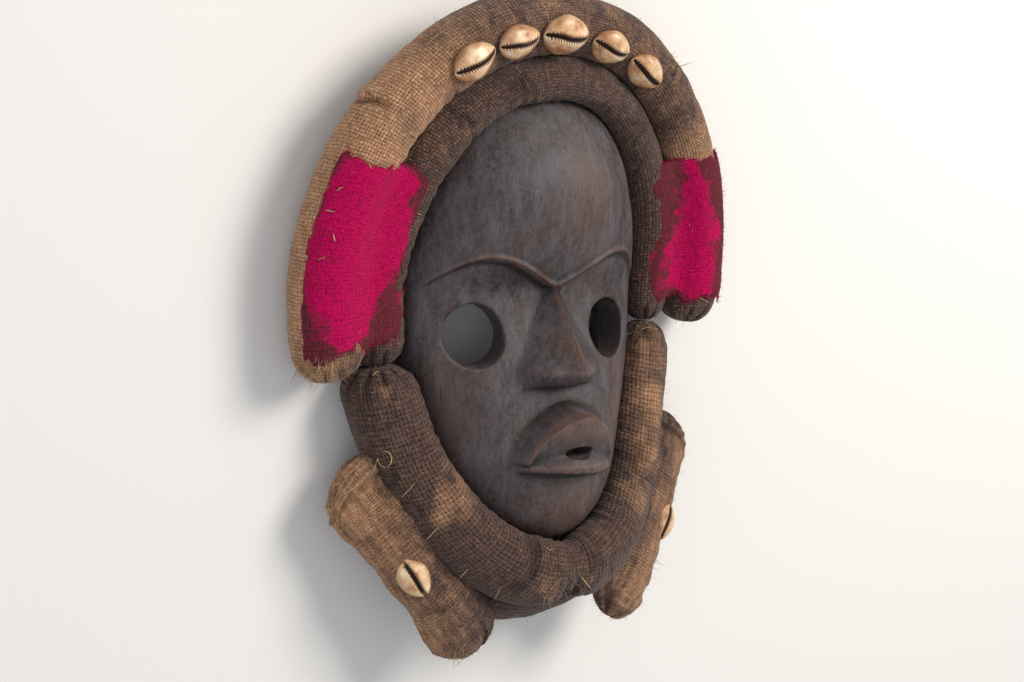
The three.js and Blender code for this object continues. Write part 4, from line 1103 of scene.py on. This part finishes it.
def add(tree, kind, *values, stops=(), **options):
    """Adds a node and returns it. A word after a dot is its operation or blend; stops are a colour ramp's.

    values go to the inputs in use, in order, capitalised options to the inputs of that name, and the others are
    settings. A hex colour is turned linear, and a node stands for its first output in use."""
    kind, _, mode = kind.partition(".")
    made = tree.nodes.new("ShaderNode" + kind)
    if kind == "Mix":
        made.data_type, made.blend_type = "RGBA", mode
    elif mode:
        made.operation = mode
    for key in [key for key in options if key[0].islower()]:
        setattr(made, key, options.pop(key))
    for k, (place, colour) in enumerate(stops):
        elements = made.color_ramp.elements
        element = elements[k] if k < 2 else elements.new(place)
        element.position = place
        element.color = linear(colour) if isinstance(colour, str) else (colour, colour, colour, 1)
    in_use = [socket for socket in made.inputs if socket.enabled]
    named = [(made.inputs[key.replace("_", " ")], value) for key, value in options.items()]
    for socket, value in [*zip(in_use, values), *named]:
        if isinstance(value, bpy.types.Node):
            value = next(output for output in value.outputs if output.enabled)
        if isinstance(value, bpy.types.NodeSocket):
            tree.links.new(value, socket)
        elif value is not None:
            socket.default_value = linear(value) if isinstance(value, str) else value
    return made


def new_material(name):
    """A material with its node tree, its Principled shader and its place in Object coordinates."""
    material = bpy.data.materials.new(name)
    material.use_nodes = True
    tree = material.node_tree
    return material, tree, tree.nodes["Principled BSDF"], add(tree, "TexCoord").outputs["Object"]


def finish_material(tree, shader, colour, roughness, height, strength, distance, **constants):
    """Links colour, roughness and a bump of that height to the shader, and sets its constants."""
    mixed = colour.bl_idname == "ShaderNodeMix"
    tree.links.new(colour.outputs[2 if mixed else 0], shader.inputs["Base Color"])
    if isinstance(roughness, float):
        shader.inputs["Roughness"].default_value = roughness
    else:
        tree.links.new(roughness.outputs[0], shader.inputs["Roughness"])
    bumped = add(tree, "Bump", Strength=strength, Distance=distance, Height=height)
    tree.links.new(bumped.outputs[0], shader.inputs["Normal"])
    for key, value in constants.items():
        shader.inputs[key.replace("_", " ")].default_value = value


def oiled_hardwood():
    """Hardwood carved with an adze, stained dark, oiled and handled: satin, browner where hands and a lamp's smoke
    reached it, with a greyish film, pores along the grain, bare wood on the ridges and painted shade in the hollows."""
    material, tree, shader, place = new_material("carved_oiled_hardwood")
    along = add(tree, "Mapping", Vector=place, Scale=(1, 0.3, 1))
    patches = add(tree, "TexNoise", place, Scale=30.0, Detail=6.0, Roughness=0.62)
    film = add(tree, "TexNoise", along, Scale=170.0, Detail=5.0, Roughness=0.7)
    pores = add(tree, "TexNoise", add(tree, "Mapping", Vector=place, Scale=(1, 0.16, 1)), Scale=1500.0, Detail=2.0)
    grit = add(tree, "TexNoise", place, Scale=2600.0, Detail=2.0, Roughness=0.7)
    wear, hollow_shade, brown = (add(tree, "Attribute", attribute_name=n).outputs["Fac"] for n in ("wear", "hollow_shade", "brown"))
    mottle = add(tree, "TexNoise", place, Scale=420.0, Detail=4.0, Roughness=0.7)
    stain = add(tree, "ValToRGB", patches, stops=[(0.3, "#1f1b1c"), (0.5, "#2f2a2c"), (0.72, "#454042")])
    sooty = add(tree, "Mix.MIX", add(tree, "ValToRGB", mottle, stops=[(0.42, 0.0), (0.6, 0.7)]), stain, "#4f3e38")
    filmed = add(tree, "Mix.MIX", add(tree, "ValToRGB", film, stops=[(0.42, 0.0), (0.68, 0.6)]), sooty, "#60616b")
    browner = add(tree, "Math.MULTIPLY", brown, add(tree, "ValToRGB", patches, stops=[(0.3, 0.55), (0.6, 1.0)]))
    warm = add(tree, "Mix.MIX", browner, filmed, "#6a4a38")
    rubbed = add(tree, "Math.MULTIPLY", wear, add(tree, "ValToRGB", mottle, stops=[(0.35, 0.15), (0.65, 0.75)]))
    bare = add(tree, "Mix.MIX", rubbed, warm, "#745446")
    # Painted shade: the hollows of the carving are coloured near black.
    hollow_shaded = add(tree, "Mix.MIX", add(tree, "Math.MULTIPLY", hollow_shade, 0.8), bare, "#191210")
    pitted = add(tree, "ValToRGB", pores, stops=[(0.3, 0.55), (0.42, 0.0)])
    dark = add(tree, "Mix.MIX", pitted, hollow_shaded, "#171110")
    specks = add(tree, "TexVoronoi", place, Scale=85.0, Randomness=1.0)
    speck = add(tree, "ValToRGB", specks, stops=[(0.0, 0.6), (0.025, 0.6), (0.045, 0.0)])
    colour = add(tree, "Mix.MIX", speck, dark, "#a0552a")
    roughness = add(tree, "ValToRGB", film, stops=[(0.3, 0.42), (0.7, 0.6)])
    height = add(tree, "Math.ADD", add(tree, "Math.ADD", film, mottle), add(tree, "Math.ADD", pores, grit))
    finish_material(tree, shader, colour, roughness, height, 0.5, 0.0004, IOR=1.45)
    return material


def woven(tree, pitch, shake_by):
    """Plain weave on the piece's own uv, which is in metres.

    Two sets of threads lie a pitch apart. Each has a half-round section and rises and dives by a cosine, out of step
    with its neighbours. Returns height from 0 to 1 and a random tone for each thread and each crossing."""
    uv = add(tree, "UVMap", uv_map="cloth")
    shake = add(tree, "TexNoise", uv, Scale=0.2 / pitch, Detail=3.0).outputs["Color"]
    placed = add(tree, "VectorMath.ADD", add(tree, "VectorMath.SCALE", uv, 1 / pitch),
                 add(tree, "VectorMath.SCALE", shake, shake_by))
    both = add(tree, "SeparateXYZ", placed)
    slub = add(tree, "TexNoise", uv, Scale=0.45 / pitch, Detail=2.0)
    narrow = add(tree, "MapRange", slub, 0.3, 0.7, 2.5, 1.8)
    nearest = [add(tree, "Math.ROUND", both.outputs[k]) for k in (0, 1)]
    off = [add(tree, "Math.SUBTRACT", both.outputs[k], nearest[k]) for k in (0, 1)]
    turn = add(tree, "Math.MULTIPLY", add(tree, "Math.ADD", *nearest), math.pi)
    sign = add(tree, "Math.COSINE", turn)
    heights, randoms = [], []
    for k, swing in ((0, 0.4), (1, -0.4)):
        across = add(tree, "Math.MULTIPLY", off[k], narrow)
        left = add(tree, "Math.SUBTRACT", 1.0, add(tree, "Math.MULTIPLY", across, across))
        section = add(tree, "Math.SQRT", add(tree, "Math.MAXIMUM", left, 0.0))
        dive = add(tree, "Math.COSINE", add(tree, "Math.MULTIPLY", off[1 - k], math.pi))
        wave = add(tree, "Math.MULTIPLY", dive, sign)
        heights.append(add(tree, "Math.MULTIPLY", section, add(tree, "Math.MULTIPLY_ADD", wave, swing, 0.6)))
        key = add(tree, "Math.MULTIPLY_ADD", nearest[k], 1.7, 10 * swing)
        randoms.append(add(tree, "TexWhiteNoise", key, noise_dimensions="1D"))
    over = add(tree, "Math.GREATER_THAN", *heights)
    thread = add(tree, "Math.MULTIPLY_ADD", add(tree, "Math.SUBTRACT", *randoms), over, randoms[1])
    crossing = add(tree, "TexWhiteNoise", add(tree, "CombineXYZ", *nearest), noise_dimensions="2D")
    random = add(tree, "Math.MULTIPLY_ADD", thread, 0.3, add(tree, "Math.MULTIPLY", crossing, 0.7))
    return add(tree, "Math.MAXIMUM", *heights), random


def hessian(name):
    """Hessian woven from jute: matt hairy threads, pale where clean, dark where soot and oil have got in; painted shade
    in the gaps between the threads and in the folds.
    """
    material, tree, shader, place = new_material(name)
    height, random = woven(tree, THREAD * MM, 1.1)
    clean, fold = (add(tree, "Attribute", attribute_name=n).outputs["Fac"] for n in ("clean", "fold"))
    blotch = add(tree, "TexNoise", place, Scale=75.0, Detail=6.0, Roughness=0.66)
    fibre = add(tree, "TexNoise", place, Scale=1100.0, Detail=3.0, Roughness=0.65)
    shifted = add(tree, "Math.MULTIPLY_ADD", add(tree, "Math.SUBTRACT", blotch, 0.5), 1.3, clean)
    how_clean = add(tree, "ValToRGB", shifted, stops=[(0.2, 0.0), (0.9, 1.0)])
    tone = add(tree, "Math.MULTIPLY_ADD", random, 0.24, add(tree, "Math.MULTIPLY", fibre, 0.8))
    soiled = add(tree, "ValToRGB", tone, stops=[(0.3, "#33241e"), (0.55, "#56413a"), (0.75, "#7d6253")])
    fresh = add(tree, "ValToRGB", tone, stops=[(0.3, "#875e3e"), (0.55, "#b28664"), (0.75, "#d2aa86")])
    thread = add(tree, "Mix.MIX", how_clean, soiled, fresh)
    # Painted shade: the gaps between the threads are coloured dark, darker on the sooty cloth.
    weave_gap_shade = add(tree, "Mix.MIX", how_clean, "#170f0d", "#4c2f20")
    cloth = add(tree, "Mix.MIX", add(tree, "ValToRGB", height, stops=[(0.2, 0.0), (0.7, 1.0)]), weave_gap_shade, thread)
    # Painted shade in the folds.
    folded = add(tree, "Mix.MULTIPLY", add(tree, "Math.MULTIPLY", fold, 0.7), cloth, "#3a2a22")
    raised = add(tree, "Math.MULTIPLY_ADD", fibre, 0.5, height)
    finish_material(tree, shader, folded, 0.93, raised, 0.9, 0.00045,
                    Specular_IOR_Level=0.22, Sheen_Weight=0.1, Sheen_Roughness=0.5)
    return material


def wool_felt():
    """Woven wool dyed magenta and felted: a nap of fibres hides most of the weave, and soil browns it."""
    material, tree, shader, place = new_material("felted_magenta_wool")
    height, _ = woven(tree, THREAD * MM, 1.6)
    soil = add(tree, "Attribute", attribute_name="soil").outputs["Fac"]
    fibre = add(tree, "TexNoise", place, Scale=1300.0, Detail=4.0, Roughness=0.72)
    clump = add(tree, "TexNoise", place, Scale=700.0, Detail=4.0, Roughness=0.7)
    cloud = add(tree, "TexNoise", place, Scale=85.0, Detail=6.0, Roughness=0.68)
    nap = add(tree, "Math.MULTIPLY_ADD", fibre, 0.6, add(tree, "Math.MULTIPLY", clump, 0.5))
    # Painted shade at the weave's scale: the crowns of the threads are coloured lighter than the hollows between them.
    tone = add(tree, "Math.MULTIPLY_ADD", height, 0.16, nap)
    dyed = add(tree, "ValToRGB", tone, stops=[(0.42, "#4c051c"), (0.55, "#97053d"), (0.72, "#c90b59")])
    dirt = add(tree, "ValToRGB", tone, stops=[(0.35, "#271615"), (0.62, "#4d2a27"), (0.85, "#8a2a44")])
    level = add(tree, "Math.MULTIPLY_ADD", add(tree, "Math.SUBTRACT", cloud, 0.43), 1.5, soil)
    colour = add(tree, "Mix.MIX", add(tree, "ValToRGB", level, stops=[(0.22, 0.0), (0.85, 0.94)]), dyed, dirt)
    finish_material(tree, shader, colour, 0.97, tone, 1.0, 0.0011,
                    Specular_IOR_Level=0.06, Sheen_Weight=0.04, Sheen_Roughness=0.5)
    return material


def cowrie_shell():
    """Cowrie shell, glossy by nature: mottled cream to tan, with painted shade on its flanks and in its toothed slit.
    """
    material, tree, shader, place = new_material("polished_cowrie_shell")
    slit, flank = (add(tree, "Attribute", attribute_name=n).outputs["Fac"] for n in ("slit", "flank"))
    cloud = add(tree, "TexNoise", place, Scale=130.0, Detail=5.0, Roughness=0.62)
    shell = add(tree, "ValToRGB", cloud, stops=[(0.32, "#93613b"), (0.46, "#c9996c"), (0.64, "#ecd0a9")])
    # Painted shade on the flanks.
    sides = add(tree, "Mix.MIX", add(tree, "Math.MULTIPLY", flank, 0.6), shell, "#8a5833")
    # Painted shade in the slit.
    colour = add(tree, "Mix.MIX", add(tree, "ValToRGB", slit, stops=[(0.15, 0.0), (0.6, 1.0)]), sides, "#331c12")
    finish_material(tree, shader, colour, 0.4, cloud, 0.15, 0.0004, Coat_Weight=0.15, Coat_Roughness=0.2)
    return material


def spun_thread(name, dark, light):
    """Loose fibres and straw: matt, a little uneven in colour along their length."""
    material, tree, shader, place = new_material(name)
    streak = add(tree, "TexNoise", place, Scale=260.0, Detail=3.0, Roughness=0.6)
    colour = add(tree, "ValToRGB", streak, stops=[(0.3, dark), (0.7, light)])
    finish_material(tree, shader, colour, 0.8, streak, 0.2, 0.0002, Specular_IOR_Level=0.3)
    return material


def pale_floor():
    """Matt painted board."""
    material, tree, shader, place = new_material("matt_pale_floor")
    shader.inputs["Base Color"].default_value = linear("#e6e4e0")
    shader.inputs["Roughness"].default_value = 0.95
    return material


# ---------------------------------------------------------------- assembly

BROWN, TAN = hessian("soot_brown_hessian"), hessian("tan_jute_hessian")
WOOL, SHELL = wool_felt(), cowrie_shell()

OUTER_TONES = [
    (-105, 0.85), (-50, 1), (-40, 0.85), (-24, 0.32), (50, 0.28), (56, 0.7), (64, 0.65), (72, 0.2), (101, 0.12),
]
INNER_TONES = [(-105, 0.05), (-60, 0.1), (-45, 0.22), (-30, 0.1), (101, 0.05)]
CHIN_TONES = [(-259, 0.15), (-225, 0.2), (-200, 0.15), (-180, 0.12), (-104, 0.08)]

carved = wooden_face(oiled_hardwood())
inner_roll = stuffed_roll(
    "inner_roll", INNER, 104, [], BROWN, 11, inner_dents, INNER_TONES, "inner_crown_roll")
outer_roll = stuffed_roll(
    "outer_roll", OUTER, 112, [(INNER, 0.3)], TAN, 23, outer_dents, OUTER_TONES, "outer_crown_roll")
chin_roll = stuffed_roll(
    "chin_roll", FRONT, 108, [(INNER, 0.3), (OUTER, 0.3)], BROWN, 37, join_dents, CHIN_TONES,
    "front_chin_roll")
under_roll = stuffed_roll(
    "under_roll", BACK, 100, [(FRONT, 0.3)], BROWN, 41, no_dents, [(-232, 0.15), (-128, 0.15)],
    "back_chin_roll")
left_pad = side_pad("left_pad", -1, TAN, 53, [(0, 0.7), (0.35, 0.55), (0.6, 0.3), (1, 0.35)], "left_side_pad")
right_pad = side_pad("right_pad", 1, TAN, 67, [(0, 0.35), (0.5, 0.45), (1, 0.65)], "right_side_pad")
left_felt, left_border, left_nap = felt_patch("left_felt", -1, WOOL, 71, "left_felt_patch")
right_felt, right_border, right_nap = felt_patch("right_felt", 1, WOOL, 83, "right_felt_patch")

CROWN_COWRIES = [(-29.8, 14, 0.96), (-16.8, 20, 0.92), (-2.5, 23, 1.08), (13.2, 31, 0.95), (27.8, 34, 0.96)]
for number, row in enumerate(CROWN_COWRIES, 1):
    cowrie(f"crown_shell_{number}", *crown_cowrie_place(*row), SHELL, 100 + number,
           lambda rings: pushed_clear(rings, [(OUTER, -0.6)]), f"crown_cowrie_{number}")
cowrie("left_pad_shell", *pad_cowrie_place(-1, 0.53, 10, 0.88), SHELL, 119, lambda rings: rings, "left_pad_cowrie")
cowrie("right_pad_shell", *pad_cowrie_place(1, 0.5, 17, 0.82), SHELL, 121, lambda rings: rings, "right_pad_cowrie",
       twist=math.radians(38))

# Threads, by where the camera sees them.
STRAW = spun_thread("dry_straw_and_jute", "#7d6346", "#c6a980")
DUSKY = spun_thread("sooty_jute_fibre", "#2e211a", "#6e5541")
CLOTHS = [outer_roll, inner_roll, chin_roll, under_roll, left_pad, right_pad, left_felt, right_felt]
rng = np.random.default_rng(7)
loop = [(385 + 7 * math.cos(a), 459 + 8 * math.sin(a)) for a in np.linspace(-2.4, 3.4, 14)]
loop += [(374, 470), (370, 480)]
straws = laid([
    loop,
    [(336, 191), (343, 187)], [(325, 210), (335, 212)], [(333, 234), (335, 242)], [(317, 260), (326, 257)],
    [(368, 164), (371, 169)], [(417, 213), (421, 215)], [(425, 46), (447, 29)], [(431, 58), (441, 47)],
    [(410, 134), (417, 138)], [(699, 297), (709, 303)], [(580, 575), (592, 590)], [(571, 602), (585, 594)],
    [(552, 600), (552, 611)], [(401, 498), (415, 483)], [(424, 542), (440, 525)], [(458, 579), (468, 569)],
    [(491, 603), (501, 587)], [(337, 505), (341, 495), (361, 484)], [(545, 547), (549, 551), (555, 549)],
    [(372, 376), (380, 371)], [(640, 330), (652, 327)],
], CLOTHS, 0.55, steps=24)
threads("straw_stitches", straws, 0.24, STRAW, sides=8)
dark_lines = laid([
    [(463, 664), (464, 670), (463, 677)], [(655, 330), (640, 338), (634, 346)], [(441, 440), (447, 450)],
    [(668, 56), (676, 66), (673, 78)], [(672, 54), (680, 62), (679, 76)],
], CLOTHS, 0.7, steps=40)
threads("dark_threads", dark_lines, 0.28, DUSKY, sides=6)
FRAYS = [
    (312, 372, 16, -0.3, 0.8, 60, 6), (332, 368, 14, 0.1, 0.9, 50, 5), (378, 372, 10, 0.2, 0.8, 25, 4),
    (646, 334, 16, 0.3, 0.3, 50, 5), (672, 66, 10, 0.7, 0.3, 18, 6), (575, 575, 20, 0, 0.6, 26, 4),
    (549, 592, 12, -0.2, 0.8, 26, 4), (323, 510, 8, -0.6, 0.5, 30, 5), (460, 655, 12, 0, 1, 36, 5),
    (652, 568, 10, 0.7, 0.4, 24, 5), (620, 626, 12, 0, 1, 34, 5), (440, 36, 12, -0.3, -0.8, 22, 5),
    (680, 312, 12, 0.4, 0.5, 30, 4),
]
starts, ways, lengths = frayed(FRAYS, CLOTHS, rng)
threads("frayed_fibres", curling(starts, ways, lengths, 0.35, rng), 0.09, STRAW, sides=4)
for name, pieces, longest, fibre, slot in (
    ("tan_hairs", [outer_roll, left_pad, right_pad], 3.4, STRAW, "tan_burlap"),
    ("dark_hairs", [inner_roll, chin_roll, under_roll], 3.2, DUSKY, "brown_burlap"),
):
    starts, ways = hairs(pieces, 900, rng)
    lengths = rng.uniform(1, longest, len(starts))
    threads(name, curling(starts, ways, lengths, 0.4, rng, 4), 0.06, fibre, sides=3)
for name, border, nap in (("left", left_border, left_nap), ("right", right_border, right_nap)):
    pick = rng.integers(0, len(nap), 1500)
    starts = np.concatenate([np.repeat(border, 3, 0), nap[pick]])
    centre = nap.mean(0)
    ways = unit(unit(starts - centre) * 0.5 + rng.normal(0, 0.55, starts.shape) + [0, 0, 0.3])
    lengths = rng.uniform(0.6, 1.9, len(starts))
    paths = curling(starts - 0.3 * ways, ways, lengths, 0.5, rng, 3)
    threads(f"{name}_felt_fuzz", paths, 0.07, WOOL, sides=3)

# ---------------------------------------------------------------- floor and light

board = bpy.data.meshes.new("floor")
board.from_pydata([(-3, -3, 0), (3, -3, 0), (3, 3, 0), (-3, 3, 0)], [], [(0, 1, 2, 3)])
board.materials.append(pale_floor())
floor = bpy.data.objects.new("floor", board)
bpy.context.scene.collection.objects.link(floor)


def soft_light(name, place, power, size, colour):
    """A square area light that looks at the mask."""
    lamp = bpy.data.lights.new(name, "AREA")
    lamp.energy, lamp.size, lamp.color = power, size, linear(colour)[:3]
    holder = bpy.data.objects.new(name, lamp)
    bpy.context.scene.collection.objects.link(holder)
    holder.location = place
    holder.rotation_mode = "QUATERNION"
    holder.rotation_quaternion = (Vector((0, 0, 0.03)) - Vector(place)).to_track_quat("-Z", "Y")


soft_light("key", (0.75, 0.75, 1.15), 22, 0.7, "#fff8ee")
soft_light("fill", (-1.2, -0.3, 1.0), 5, 1.4, "#e8f0ff")
world = bpy.data.worlds.new("studio")
world.use_nodes = True
world.node_tree.nodes["Background"].inputs["Color"].default_value = linear("#f4f6fa")
world.node_tree.nodes["Background"].inputs["Strength"].default_value = 0.55
bpy.context.scene.world = world
bpy.context.scene.view_settings.view_transform = "Standard"
